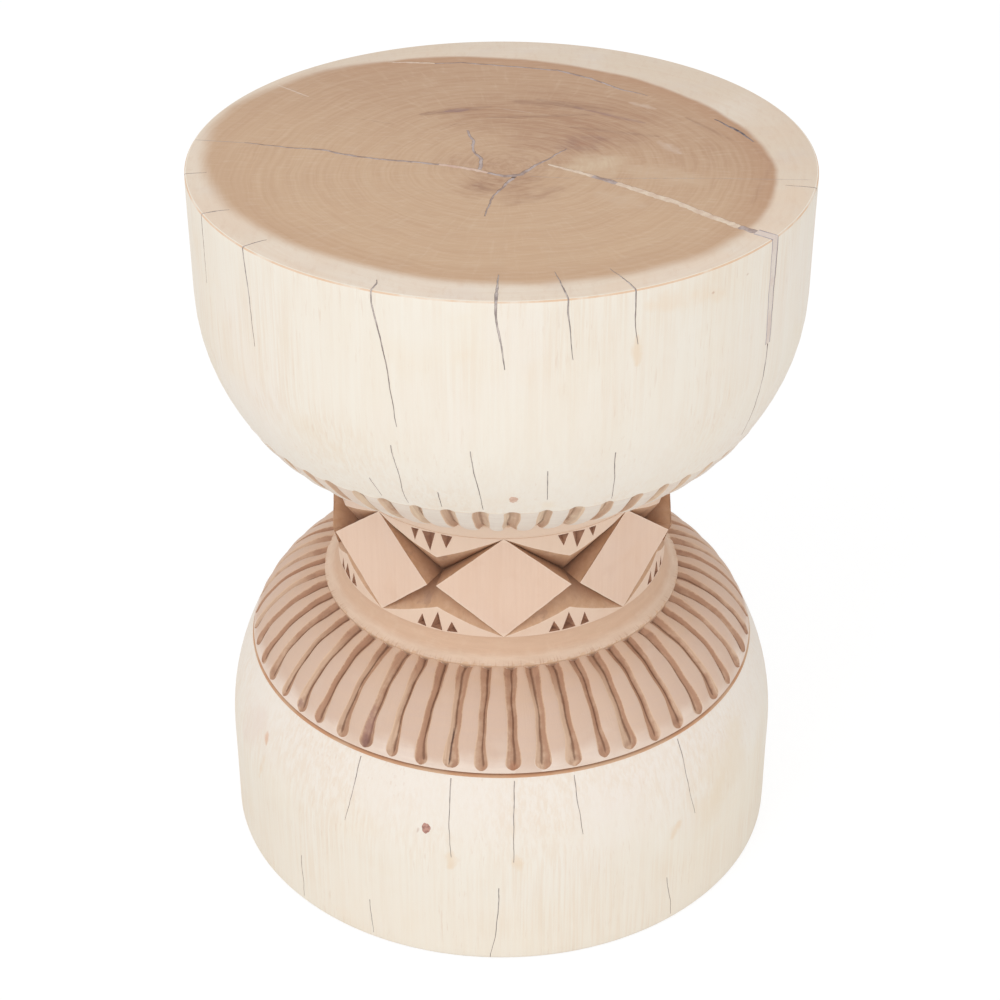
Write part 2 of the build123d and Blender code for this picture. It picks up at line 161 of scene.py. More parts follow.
def curve_radius(side_radius, draw, height, off_side):
    """Radius of a curve that leaves a straight side tangentially, off_side away from it."""
    arc_radius = (draw**2 + height**2) / (2 * draw)
    return side_radius - arc_radius + sqrt(arc_radius**2 - off_side**2)


def skin_radius(z):
    """Radius of the plain skin of the bowl or of the drum at a height."""
    if z > Z_FLUTE_EDGE - 1:
        off = max(Z_BOWL_SIDE - z, 0)
        return curve_radius(sizes["rim"], BOWL_DRAW, Z_BOWL_SIDE - Z_FLUTE_EDGE, off)
    return curve_radius(sizes["base"], SHOULDER_DRAW, Z_GROOVE - Z_SIDE, max(z - Z_SIDE, 0))


def skin_normal(z):
    """Outward normal (across, up) of the bowl's skin at a height."""
    slope = (skin_radius(z + 0.5) - skin_radius(z - 0.1)) / 0.6
    return Vector((1, -slope)).normalized()


def soften(value, low, high):
    """0 below low, 1 above high, and a smooth step between."""
    share = min(max((value - low) / (high - low), 0), 1)
    return share * share * (3 - 2 * share)


def wander(place, scale, seed=0.0):
    """Smooth noise between about -1 and 1 at a place in metres, with features of scale mm."""
    return noise.noise(Vector(place) / (scale * MM) + Vector((seed, seed * 0.7, seed * 1.3)))


# --------------------------------------------------------------------------- by-hand helpers
def nothing_selected():
    if bpy.context.mode != "OBJECT":
        bpy.ops.object.mode_set(mode="OBJECT")
    bpy.ops.object.select_all(action="DESELECT")


def only(piece):
    """Selects one object and makes it active."""
    nothing_selected()
    piece.select_set(True)
    bpy.context.view_layer.objects.active = piece


def fresh(name):
    """Names the primitive that has just been added."""
    piece = bpy.context.object
    piece.name = piece.data.name = name
    return piece


def edit(piece, chosen=lambda vert: True):
    """Opens a piece for editing with the chosen points selected, and the edges and faces on them."""
    only(piece)
    bpy.ops.object.mode_set(mode="EDIT")
    bpy.ops.mesh.select_mode(type="VERT")
    bpy.ops.mesh.select_all(action="DESELECT")
    bpy.ops.object.mode_set(mode="OBJECT")
    for vert in piece.data.vertices:
        vert.select = chosen(vert)
    bpy.ops.object.mode_set(mode="EDIT")


def edited():
    bpy.ops.object.mode_set(mode="OBJECT")


def joined(pieces, name):
    only(pieces[0])
    for piece in pieces[1:]:
        piece.select_set(True)
    bpy.ops.object.join()
    return fresh(name)


def settle():
    """Puts the active object's place into its mesh."""
    bpy.ops.object.transform_apply(location=True, rotation=True, scale=True)


def apply_modifier(piece, kind, **settings):
    only(piece)
    modifier = piece.modifiers.new(kind.lower(), kind)
    for key, value in settings.items():
        setattr(modifier, key, value)
    bpy.ops.object.modifier_apply(modifier=modifier.name)


# ------------------------------------------------------------------------------- the lathe
class Turning:
    """A part of the log spun from a profile of (radius, height), ready to be carved.
    The point of a level in a column has the index column * levels + level."""

    def __init__(self, name, profile, columns, phase):
        self.profile, self.columns, self.phase = profile, columns, phase
        nothing_selected()
        bpy.ops.mesh.primitive_plane_add(size=1)
        self.piece = fresh(name)
        edit(self.piece)
        bpy.ops.mesh.merge(type="CENTER")
        bpy.ops.transform.translate(value=at(phase, *profile[0]))
        for before, after in zip(profile, profile[1:]):
            step = at(phase, *after) - at(phase, *before)
            bpy.ops.mesh.extrude_vertices_move(TRANSFORM_OT_translate={"value": step})
        bpy.ops.mesh.select_all(action="SELECT")
        bpy.ops.mesh.spin(steps=columns, angle=-tau, center=(0, 0, 0), axis=(0, 0, 1))
        bpy.ops.mesh.select_all(action="SELECT")
        bpy.ops.mesh.remove_doubles(threshold=1e-6)
        edited()
        if len(self.piece.data.vertices) != columns * len(profile):
            raise RuntimeError(f"{name} did not close when it was spun")
        for mark in MARKS:
            self.piece.data.attributes.new(mark, "FLOAT", "POINT")

    def index(self, level, column):
        return column % self.columns * len(self.profile) + level

    def azimuth(self, column):
        return self.phase + 360 * column / self.columns

    def put(self, level, column, place, **marks):
        """Moves a point and sets its marks."""
        index = self.index(level, column)
        self.piece.data.vertices[index].co = place
        for mark, value in marks.items():
            self.piece.data.attributes[mark].data[index].value = value

    def mark(self, level, columns=None, **marks):
        """Sets marks all round a level, or in some of its columns."""
        for column in columns or range(self.columns):
            for mark, value in marks.items():
                self.piece.data.attributes[mark].data[self.index(level, column)].value = value

    def roughen(self, levels):
        """Gives levels the slight waver of a hand-shaped form."""
        for level in levels:
            radius, height = self.profile[level]
            for column in range(self.columns):
                azimuth = self.azimuth(column)
                off = WAVER * wander(at(azimuth, radius, height), WAVER_SPAN)
                self.put(level, column, at(azimuth, radius + off, height))

    def close(self, level):
        """Fills the flat end at a level."""
        count = len(self.profile)
        edit(self.piece, lambda vert: vert.index % count == level)
        bpy.ops.mesh.edge_face_add()
        edited()

    def paint(self, material_of):
        """Gives each face the material of its level and column."""
        count = len(self.profile)
        for face in self.piece.data.polygons:
            levels = {index % count for index in face.vertices}
            columns = sorted({index // count for index in face.vertices})
            if len(columns) > 2:  # the flat end
                face.material_index = END_GRAIN
            else:
                column = columns[0] if columns[1] - columns[0] == 1 else columns[1]
                face.material_index = material_of(min(levels), column)


# ------------------------------------------------------------------------------ the flutes
GROOVE_STATIONS = (-1.0, -0.5, 0.0, 0.5, 1.0)  # across a groove, from edge to edge
GROOVE_DEPTHS = (0.0, 0.52, 1.0, 0.52, 0.0)
LAND_STATIONS = (0.08, 0.22, 0.5, 0.78, 0.92)  # across a land, from edge to edge
PER_FLUTE = len(GROOVE_STATIONS) + len(LAND_STATIONS)
LAND_CROWN = 0.75  # how far a land is rounded up above its edges
COLUMN_LEAD = 2  # the middle of a groove is this many columns after its first
SHOULDER_PHASE, UNDERSIDE_PHASE = 2.5, 2.2  # azimuth of the first groove
NARROWEST = 0.7  # half width of a groove where it has run out
OPEN_ENOUGH = 0.3  # a groove's own finish starts where it has opened this far


def carve_flutes(turning, stations, count, phase, shape, seed):
    """Grooves with rounded lands between them, each cut a little differently.
    stations: {level: (run, (radius, height), outward)}.
    shape(groove, run) gives a groove's half width, depth and how far it has opened."""
    draw = random.Random(seed)
    grooves = [
        {
            "azimuth": phase + 360 / count * k + draw.uniform(-0.28, 0.28),
            "width": draw.uniform(0.84, 1.18),
            "depth": draw.uniform(0.88, 1.12),
            "stop": draw.uniform(-1, 1),
            "lean": draw.uniform(-0.38, 0.38),
            "wave": draw.uniform(0, tau),
            "sway": draw.uniform(0.2, 0.5),
            "tone": draw.random(),
            "land tone": draw.random(),
        }
        for k in range(count)
    ]
    opened = {}
    for level, (run, (radius, height), outward) in stations.items():
        per_mm = degrees(1 / radius)
        lines = []
        for k, groove in enumerate(grooves):
            half, depth, opening = shape(groove, run)
            sway = groove["sway"] * sin(groove["wave"] + run / 9)
            sway += 0.28 * sin(groove["wave"] * 3 + run / 3.7)
            lines.append((groove["azimuth"] + sway * per_mm, half * per_mm, depth, opening))
            opened[level, k] = opening

        def put(column, azimuth, lift, **marks):
            lift += 0.12 * wander(at(azimuth, radius, height), 7, seed) * soften(run, 0, 3)
            place = at(azimuth, radius + outward.x * lift, height + outward.y * lift)
            turning.put(level, column, place, **marks)

        for k, (azimuth, half, depth, opening) in enumerate(lines):
            groove, ahead = grooves[k], lines[(k + 1) % count]
            for j, (station, deep) in enumerate(zip(GROOVE_STATIONS, GROOVE_DEPTHS)):
                across = station + groove["lean"] * (1 - abs(station))
                # cut carries the painted shade along a groove's bottom, and edge the painted highlight
                # along its edges
                put(
                    PER_FLUTE * k + j, azimuth + half * across, -depth * deep - 0.25 * opening,
                    cut=deep * opening, edge=opening if abs(station) == 1 else 0.0,
                    hand=station, tone=groove["tone"],
                )
            right = azimuth + half
            left = ahead[0] - ahead[1] + (360 if k + 1 == count else 0)
            full = min(opening, ahead[3])
            for j, station in enumerate(LAND_STATIONS, start=len(GROOVE_STATIONS)):
                crown = LAND_CROWN * (1 - abs(2 * station - 1) ** 2.4) - 0.2
                put(
                    PER_FLUTE * k + j, right + (left - right) * station, crown * full,
                    cut=0.0, edge=0.0, hand=0.0, tone=groove["land tone"],
                )
    return opened


def in_groove(opened, level, column):
    """Whether a face lies in a groove that has opened there."""
    groove, place = divmod(column, PER_FLUTE)
    if place >= len(GROOVE_STATIONS) - 1:
        return False
    return max(opened.get((lower, groove), 0) for lower in (level, level + 1)) > OPEN_ENOUGH


def shoulder_shape(groove, run):
    """A thumb-shaped scoop at the outer end, narrow in the middle, wide and deep at the ring."""
    stop = 1.5 + 0.7 * groove["stop"]
    share = run / 68
    past = min(max((run - stop) / 5.0, 0), 1)
    opening = sqrt(1 - (1 - past) ** 2)
    half = 3.0 + 1.9 * (1 - soften(share, 0.05, 0.36)) + 1.2 * soften(share, 0.62, 0.98)
    deep = 0.62 + 0.2 * soften(share, 0.1, 0.5) + 0.2 * soften(share, 0.6, 1)
    depth = sizes["flute_depth"] * deep
    half = max(half * groove["width"] * opening, NARROWEST)
    return half, depth * groove["depth"] * opening, opening


def underside_shape(groove, run):
    """A notch that runs out over the edge of the bowl and deepens towards the ring."""
    opening = soften(run, -2.2 + 0.7 * groove["stop"], 1.8)
    half = 4.2 - 0.7 * soften(run, 5, 40)
    depth = sizes["flute_depth"] * (0.9 + 0.2 * soften(run, 10, 60))
    half = max(half * groove["width"] * (0.45 + 0.55 * opening), NARROWEST)
    return half, depth * groove["depth"] * opening, opening


def stations_along(start, end, bulge, runs, first_level):
    """Levels along an arc, at runs in millimetres from its start."""
    length = hypot(end[0] - start[0], end[1] - start[1])
    stations = {}
    for level, run in enumerate(runs, start=first_level):
        point, outward = arc_station(start, end, bulge, min(run / length, 1))
        stations[level] = (run, tuple(point), outward)
    return stations


# levels along the two fluted arcs, in millimetres from their outer ends; the last is past the end
SHOULDER_RUNS = [0, 0.7, 1.3, 1.9, 2.6, 3.4, 4.4, 5.7, 7.4, 9.6, 12.4]
SHOULDER_RUNS += [15.5 + 3.1 * k for k in range(17)] + [80]
UNDERSIDE_RUNS = [0, 0.6, 1.4, 2.4, 4, 6, 8.5] + [11.5 + 3.5 * k for k in range(16)] + [80]
# the grooves of the underside run out on the bowl, which climbs this much for each millimetre
RUNOUT, RUNOUT_RISE = [4.2, 3.0, 2.1, 1.4, 0.8, 0.3], 0.84


def turn_drum():
    """Floor, side, V-groove, fluted shoulder and lower hollow ring."""
    base, ring, core = sizes["base"], sizes["waist"] + sizes["reach"], sizes["waist"]
    seam = base - SHOULDER_DRAW
    profile = [
        (base - FOOT_EASE + FOOT_EASE * sin(turn), FOOT_EASE - FOOT_EASE * cos(turn))
        for turn in map(radians, EASE)
    ]
    profile += [(base, z) for z in (10, 20, 32, 44, 58, 72)]
    profile += [(skin_radius(z), z) for z in (80, 88, 96, 104, 112, 120, 127, 134, 140, 143.0)]
    lip = len(profile) - 1
    profile.append((skin_radius(143.6) - 0.25, 143.6))
    profile.append((seam - LIP_DEPTH, Z_GROOVE + 0.3))
    first = len(profile)
    start, end = (seam - 0.35, Z_GROOVE + 1.5), (ring, Z_SHOULDER)
    stations = stations_along(start, end, SHOULDER_BULGE, SHOULDER_RUNS, first)
    profile += [point for _, point, _ in stations.values()]
    foot = len(profile)
    profile.append((ring, Z_SHOULDER + 0.06))
    profile += arc_points((ring, Z_RING), (core, Z_WAIST), -RING_HOLLOW, RING_STEPS)
    count = sizes["flutes_low"]
    phase = SHOULDER_PHASE - COLUMN_LEAD * 360 / (count * PER_FLUTE)
    drum = Turning("drum", profile, count * PER_FLUTE, phase)
    drum.roughen(range(len(EASE), lip))
    opened = carve_flutes(drum, stations, count, SHOULDER_PHASE, shoulder_shape, 5)
    drum.mark(lip + 1, edge=0.8)
    # the ring finish paints shade along this bottom of the V-groove
    drum.mark(lip + 2, cut=1.0)
    drum.mark(first, edge=0.9)
    nick_lip(drum, foot, 2)

    def material_of(level, column):
        if level <= lip:
            return BLEACHED
        if level < first or level >= foot - 1:
            return RING
        return GROOVE if in_groove(opened, level, column) else LAND

    drum.close(0)
    drum.paint(material_of)
    return drum


def turn_bowl():
    """Upper hollow ring, fluted underside, bowl, rim and top, from the top down."""
    rim, top, core = sizes["rim"], sizes["top"], sizes["waist"]
    ring, edge = core + sizes["reach"], rim - BOWL_DRAW
    profile = [
        (rim - RIM_EASE + RIM_EASE * cos(turn), top - RIM_EASE + RIM_EASE * sin(turn))
        for turn in map(radians, reversed(EASE))
    ]
    profile += [(rim, z) for z in (492, 480, 466, 452, 436, 421)]
    profile += [(skin_radius(z), z) for z in (408, 396, 385, 375, 366, 358.5, 353.5)]
    runout = len(profile)
    stations = {}
    for level, off in enumerate(RUNOUT, start=runout):
        z = Z_FLUTE_EDGE + off * RUNOUT_RISE
        stations[level] = (-off, (skin_radius(z), z), skin_normal(z))
    first = runout + len(RUNOUT)
    start, end = (edge, Z_FLUTE_EDGE), (ring, Z_UNDERSIDE)
    stations.update(stations_along(start, end, -UNDERSIDE_BULGE, UNDERSIDE_RUNS, first))
    profile += [point for _, point, _ in stations.values()]
    foot = len(profile)
    profile.append((ring, Z_UNDERSIDE - 0.06))
    profile += arc_points((ring, Z_UPPER_RING), (core, Z_WAIST_TOP), RING_HOLLOW, RING_STEPS)
    count = sizes["flutes_high"]
    phase = UNDERSIDE_PHASE - COLUMN_LEAD * 360 / (count * PER_FLUTE)
    bowl = Turning("bowl", profile, count * PER_FLUTE, phase)
    bowl.roughen(range(len(EASE), runout))
    opened = carve_flutes(bowl, stations, count, UNDERSIDE_PHASE, underside_shape, 8)
    lands = [c for c in range(bowl.columns) if c % PER_FLUTE >= len(GROOVE_STATIONS)]
    bowl.mark(first, lands, edge=1.0)
    nick_lip(bowl, foot, 6)

    def material_of(level, column):
        if level >= foot - 1:
            return RING
        if level >= runout and in_groove(opened, level, column):
            return GROOVE
        return LAND if level >= first else BLEACHED

    bowl.close(0)
    bowl.paint(material_of)
    return bowl


def nick_lip(turning, foot, seed):
    """The chisel's little nicks along the lip of a ring, which stands on the level foot."""
    # the ring finish paints shade along this foot of the ring's step
    turning.mark(foot, cut=0.8, edge=1.0)
    radius, height = turning.profile[foot + 1]
    for column in range(turning.columns):
        azimuth = turning.azimuth(column)
        nick = max(wander(at(azimuth, radius, height), 2.6, seed), 0) * 1.3
        edge = 0.55 + 0.45 * min(nick * 2, 1)
        turning.put(foot + 1, column, at(azimuth, radius - nick, height), edge=edge)


# ------------------------------------------------------------------------------- the waist
DIAMONDS, DIAMOND_PHASE, FLAT, TIP_GAP = 8, 0.8, 113.4, 6.6
POCKET_DEPTH, APEX_GAP, FACET_CELLS = 12.0, 20.0, 16
TIP_RISE = 2.6  # the side tips of a diamond stand a little above its middle
TALL = (Z_WAIST_TOP - Z_WAIST) / 2


def in_plane(turn, x, y, depth=FLAT):
    """Point x across and y above the middle of the upright plane that faces an azimuth."""
    turn = radians(turn)
    across, out = x * MM, depth * MM
    east, north = across * cos(turn) + out * sin(turn), across * sin(turn) - out * cos(turn)
    return Vector((east, north, (Z_MIDDLE + y) * MM))


def on_core(point):
    flat = hypot(point.x, point.y)
    return Vector((point.x * FLAT * MM / flat, point.y * FLAT * MM / flat, point.z))


def add_facet(bm, layers, corners, material, marks, bend=None):
    """Triangle of small faces between three corners, with a knife's slight waver that dies out
    at the rings.  marks(weights) gives the marks of a point; bend moves a point by its weights."""
    n = FACET_CELLS
    grid = {}
    for i in range(n + 1):
        for j in range(n + 1 - i):
            weights = (1 - (i + j) / n, i / n, j / n)
            point = sum((c * w for c, w in zip(corners, weights)), Vector())
            if bend:
                point = bend(point, weights, corners)
            waver = 0.3 * soften(TALL - abs(point.z / MM - Z_MIDDLE), 0.05, 4)
            point += Vector((wander(point, 8, 3), wander(point, 8, 4), 0)) * waver * MM
            vert = grid[i, j] = bm.verts.new(point)
            for mark, value in marks(weights).items():
                vert[layers[mark]] = value
    for i in range(n):
        for j in range(n - i):
            bm.faces.new((grid[i, j], grid[i + 1, j], grid[i, j + 1])).material_index = material
            if i + j < n - 1:
                trio = (grid[i + 1, j], grid[i + 1, j + 1], grid[i, j + 1])
                bm.faces.new(trio).material_index = material


def diamond_marks(weights):
    """Marks of half a diamond between its left, right and upper or lower tip."""
    # edge carries the painted highlight along the diamond's edges
    return {"edge": 1 - min(min(weights[0], weights[1]) * FACET_CELLS, 1), "hand": 1.0}


def triangle_marks(weights):
    """Marks of a light triangle between its point and its two ends on the ring."""
    # edge carries the painted highlight along the triangle's edges
    return {"edge": 1 - min(min(weights[1], weights[2]) * FACET_CELLS, 1), "hand": -1.0}


def wall_marks(weights):
    """Marks of a V-cut's wall between the pocket, the outer end and the tip it runs to."""
    # cut carries the painted shade along the V's bottom and in the pocket, hand the painted shade deep
    # in the pocket, edge the painted highlight along the outer edge
    inner = weights[0]
    bottom = (1 - min(weights[1] * 5, 1)) * min(inner * 6, 1)
    return {"edge": 1 - min(inner * FACET_CELLS, 1), "cut": max(bottom, inner**1.5), "hand": inner}


def bend_triangle(point, *_):
    return on_core(point)


def bend_wall(point, weights, corners):
    """Keeps the wall's outer edge, between its last two corners, on the core."""
    inner = weights[0]
    if inner > 0.999:
        return point
    share = weights[2] / (1 - inner)
    outer = corners[1] * (1 - share) + corners[2] * share
    return corners[0] * inner + on_core(outer) * (1 - inner)


def carve_waist():
    """Eight flat diamonds, the V-cuts between them and the light triangles above and below."""
    bm = bmesh.new()
    layers = {mark: bm.verts.layers.float.new(mark) for mark in MARKS}
    draw = random.Random(11)
    pitch = 360 / DIAMONDS
    half_width = FLAT * sin(radians(pitch / 2)) / cos(radians(pitch / 2)) - TIP_GAP / 2
    tips = []
    for k in range(DIAMONDS):
        turn = DIAMOND_PHASE + pitch * k
        slip = draw.uniform(-0.7, 0.7)
        tips.append(
            {
                "left": in_plane(turn, -half_width + slip / 2, TIP_RISE + draw.uniform(-0.8, 0.8)),
                "right": in_plane(turn, half_width + slip / 2, TIP_RISE + draw.uniform(-0.8, 0.8)),
                1: on_core(in_plane(turn, slip, TALL)),
                -1: on_core(in_plane(turn, slip, -TALL)),
            }
        )
    for k, here in enumerate(tips):
        there = tips[(k + 1) % DIAMONDS]
        turn = DIAMOND_PHASE + pitch * (k + 0.5)
        azimuth = turn + draw.uniform(-0.3, 0.3)
        height = Z_MIDDLE + TIP_RISE + draw.uniform(-0.8, 0.8)
        pocket = at(azimuth, FLAT - POCKET_DEPTH, height)
        for up in (1, -1):
            azimuth = turn + draw.uniform(-0.4, 0.4)
            height = Z_MIDDLE + up * (APEX_GAP + draw.uniform(-1, 1))
            apex = at(azimuth, FLAT, height)
            add_facet(bm, layers, (here["left"], here["right"], here[up]), FACET, diamond_marks)
            add_facet(bm, layers, (apex, here[up], there[up]), FACET, triangle_marks, bend_triangle)
            for side, diamond in (("right", here), ("left", there)):
                add_facet(bm, layers, (pocket, diamond[side], diamond[up]), WALL, wall_marks)
                add_facet(bm, layers, (pocket, apex, diamond[up]), WALL, wall_marks, bend_wall)
    bmesh.ops.remove_doubles(bm, verts=bm.verts, dist=1e-5)
    mesh = bpy.data.meshes.new("waist")
    bm.to_mesh(mesh)
    bm.free()
    piece = bpy.data.objects.new("waist", mesh)
    bpy.context.scene.collection.objects.link(piece)
    return piece


# place in the row of three: (width, height)
CHIPS = {-1: (7.4, 9.5), 0: (9.2, 13.5), 1: (7.4, 9.5)}
CHIP_SPACING, CHIP_DEPTH, CHIP_STAND = 11.2, 4.4, 5.0
# (triangle, up or down): how far its row lies off the middle
CHIP_SLIPS = {(7, 1): -4.5, (0, 1): 5.0}


def chip_cutters():
    """Three little points cut out of each light triangle, one modelled and the rest copied."""
    nothing_selected()
    bpy.ops.mesh.primitive_cone_add(vertices=3, radius1=1, radius2=0, depth=1, location=(0, 0, 0.5))
    first = fresh("chip cutter")
    settle()
    edit(first, lambda vert: vert.co.z > 0.5)
    bpy.ops.transform.translate(value=(0, -0.32, 0))  # the cut is deepest near the ring
    edit(first, lambda vert: vert.co.z < 0.5)
    bpy.ops.mesh.extrude_region_move(TRANSFORM_OT_translate={"value": (0, 0, -CHIP_STAND / CHIP_DEPTH)})
    edited()
    draw = random.Random(29)
    copies = []
    for k in range(DIAMONDS):
        turn = DIAMOND_PHASE + 360 / DIAMONDS * (k + 0.5)
        for up in (1, -1):
            for place, (width, height) in CHIPS.items():
                width *= draw.uniform(0.86, 1.14)
                height *= draw.uniform(0.82, 1.14)
                middle = place * CHIP_SPACING + draw.uniform(-0.9, 0.9) + CHIP_SLIPS.get((k, up), 0)
                base = up * (TALL - 0.9)
                copy = first.copy()
                copy.data = first.data.copy()
                bpy.context.scene.collection.objects.link(copy)
                centre = in_plane(turn, middle, base - up * height / 3, FLAT - 0.3)
                across = (in_plane(turn, 1, 0) - in_plane(turn, 0, 0)).normalized()
                inward = (in_plane(turn, 0, 0, 0) - in_plane(turn, 0, 0)).normalized()
                down = Vector((0, 0, -up))
                axes = (across * up * width / sqrt(3), down * height / 1.5, inward * CHIP_DEPTH)
                lean = Matrix.Rotation(radians(draw.uniform(-6, 6)), 4, inward)
                turned = Matrix([(*(axis * MM), 0) for axis in axes] + [(0, 0, 0, 1)]).transposed()
                copy.matrix_world = Matrix.Translation(centre) @ lean @ turned
                copies.append(copy)
    bpy.data.objects.remove(first)
    cutter = joined(copies, "chip cutters")
    settle()
    edit(cutter)
    bpy.ops.mesh.normals_make_consistent(inside=False)
    edited()
    return cutter


# -------------------------------------------------------------------------- the whole log
def zip_loops(bm, low, high, material):
    """Triangles between two closed loops of any counts."""

    def turn(vert):
        return atan2(vert.co.x, -vert.co.y)

    low, high = sorted(low, key=turn), sorted(high, key=turn)

    def ahead(loop, k):
        return turn(loop[k % len(loop)]) + tau * (k // len(loop))

    i = j = 0
    while i < len(low) or j < len(high):
        next_low = ahead(low, i + 1) if i < len(low) else inf
        next_high = ahead(high, j + 1) if j < len(high) else inf
        a, b = low[i % len(low)], high[j % len(high)]
        if next_low <= next_high:
            face = (a, low[(i + 1) % len(low)], b)
            i += 1
        else:
            face = (a, high[(j + 1) % len(high)], b)
            j += 1
        bm.faces.new(face).material_index = material


def build_log(materials):
    parts = [turn_drum().piece, turn_bowl().piece, carve_waist()]
    for part in parts:
        for material in materials:
            part.data.materials.append(material)
    log = joined(parts, "carved_log_wood")
    bm = bmesh.new()
    bm.from_mesh(log.data)
    core = (sizes["waist"] + FLAT) / 2
    for height in (Z_WAIST, Z_WAIST_TOP):
        level = [v for v in bm.verts if abs(v.co.z / MM - height) < 0.01 and v.is_boundary]
        ring = [v for v in level if hypot(v.co.x, v.co.y) / MM < core]
        waist = [v for v in level if hypot(v.co.x, v.co.y) / MM >= core]
        zip_loops(bm, ring, waist, RING)
    bmesh.ops.recalc_face_normals(bm, faces=bm.faces)
    if any(not edge.is_manifold for edge in bm.edges):
        raise RuntimeError("the log is not closed")
    bm.to_mesh(log.data)
    bm.free()
    return log


# ---------------------------------------------------------------------- what is let in
# runs across the top: (x, y, width), from one end of a check to the other
LEFT_CHECK = [
    (-163, 20, 0.7), (-150, 16.5, 1.0), (-135, 13, 1.2), (-113, 9.5, 1.7), (-100, 2, 1.9),
    (-80, -4, 2.0), (-52, -10, 2.0), (-39, -13.6, 2.2), (-28, -16.5, 3.0), (-18, -20.6, 3.2),
    (-9, -26.2, 2.6),
    (2, -30.5, 3.2), (12, -28, 3.2), (20, -16, 1.8), (29, -6, 1.5), (41, 11, 0.7),
]
RIGHT_CHECK = [
    (29, -13, 1.6), (41, -21, 3.0), (56, -30.5, 3.6), (63, -36, 4.2), (70, -41.5, 4.2),
    (88, -55, 5.0), (107, -71, 4.9), (124, -88, 5.0), (139.5, -102.5, 4.8), (144, -105.5, 4.8),
    (153.5, -112, 5.2),
]
BACK_SHAKE = [
    (-78, 158, 0.9), (-62, 156.5, 2.4), (-46, 155, 1.2), (-28, 157, 1.2), (0, 151, 1.8),
    (22, 146, 1.4), (38, 143, 2.2), (60, 128, 2.2), (79, 109, 1.6), (97, 98, 0.7),
]
RIGHT_SHAKE = [(138, 58, 0.8), (150, 42, 2.2), (160, 22, 0.9)]
UPPER_HEART = [(-22, 40, 1.0), (-18, 24, 1.7), (-18, 8, 1.3), (-12.5, -6, 2.2), (-13.5, -21, 2.2)]
LOWER_HEART = [(8.5, -30, 2.4), (3, -42, 1.8), (-5, -60, 1.2), (-10, -88, 0.6)]
TOP_RUNS = (LEFT_CHECK, RIGHT_CHECK, BACK_SHAKE, RIGHT_SHAKE, UPPER_HEART, LOWER_HEART)
FILLER, SLIVER, KNOT = "crack_filler", "sliver_wood", "knot_wood"
# piece: (run, first point, last point, slot, finish)
TOP_PIECES = {
    "left_check_filler": (LEFT_CHECK, 0, 7, FILLER, "crack filler"),
    "left_check_sliver": (LEFT_CHECK, 7, 10, SLIVER, "pink sliver"),
    "heart_check_filler": (LEFT_CHECK, 10, 15, FILLER, "crack filler"),
    "right_check_inner_sliver": (RIGHT_CHECK, 0, 2, SLIVER, "cream sliver"),
    "right_check_filler": (RIGHT_CHECK, 2, 4, FILLER, "crack filler"),
    "right_check_long_sliver": (RIGHT_CHECK, 4, 8, SLIVER, "cream sliver"),
    "right_rim_filler": (RIGHT_CHECK, 8, 10, FILLER, "crack filler"),
    "back_shake_sliver": (BACK_SHAKE, 0, 2, SLIVER, "cream sliver"),
    "back_shake_filler": (BACK_SHAKE, 2, 9, FILLER, "crack filler"),
    "right_shake_filler": (RIGHT_SHAKE, 0, 2, FILLER, "dark filler"),
    "upper_heart_filler": (UPPER_HEART, 0, 4, FILLER, "crack filler"),
}
# azimuth, length on the top, lean of that leg, drop down the side, azimuth at the foot, width
RIM_CHECKS = [
    (-82.0, 14.0, 0.0, 0.0, -82.0, 0.6), (-64.6, 17.0, 2.0, 46.0, -65.2, 0.7),
    (-49.2, 16.0, 1.5, 63.0, -47.9, 0.95), (-21.6, 13.0, -2.0, 86.0, -18.1, 0.85),
    (-0.9, 33.0, 1.2, 43.0, 1.0, 1.5), (10.8, 34.0, -0.6, 39.0, 11.8, 0.75),
    (22.3, 29.0, -3.0, 35.0, 22.9, 0.8), (76.0, 19.0, -1.0, 0.0, 76.0, 0.6),
]
# azimuth and height of the upper end, then of the lower end
UNDERSIDE_CHECKS = [
    (-24.8, 368, -23.8, 352), (-19.2, 400, -17.8, 350), (-11.6, 366, -11.5, 351),
    (-5.2, 402, -3.5, 351), (8.0, 386, 8.3, 360), (20.0, 394, 21.3, 351),
]
BASE_CHECKS = [
    (-45.1, 42, -45.5, 5), (-31.2, 142, -32.7, 95), (-27.3, 34, -27.1, 5), (-10.6, 142, -9.7, 88),
    (-0.5, 64, -2.1, 1.5), (2.8, 142, 3.0, 86), (15.5, 142, 16.3, 102), (35.5, 41, 36.8, 5),
    (41.1, 142, 42.3, 85),
]
HAIRLINE_WIDTH = 0.5
PIN_KNOTS = {"bowl_pin_knot": (2.2, 362, 5.2, 5.6), "base_pin_knot": (-15.0, 107, 5.8, 7.3)}
WEDGE_AZIMUTH, WEDGE_LENGTH, WEDGE_TOP, WEDGE_TOE, GLUE = 53.8, 70.0, 5.4, 3.6, 0.8
WEDGE_DEPTH, TAIL_DROP = 12.8, 138.0
LET_IN = 7.0  # depth of a slot
PROUD = 0.5  # a cutter stands this far out of the wood
SUNK = 0.12  # a filler lies this far under the skin
SLACK = 0.1  # a slot is this much wider than its run, on each side
SLIM = 0.02  # a filler is this much narrower than its run, on each side
SHORT = 0.2  # a filler ends this far above the bottom of its slot
SLIVER_SUNK, WEDGE_SUNK = 0.04, 0.05
DRIFT_RADIUS = 190  # radius by which a run down the skin turns millimetres into degrees
KNOT_REACH, KNOT_PROUD = 8, 0.06  # a knot's plug goes in this far, and stands out this far


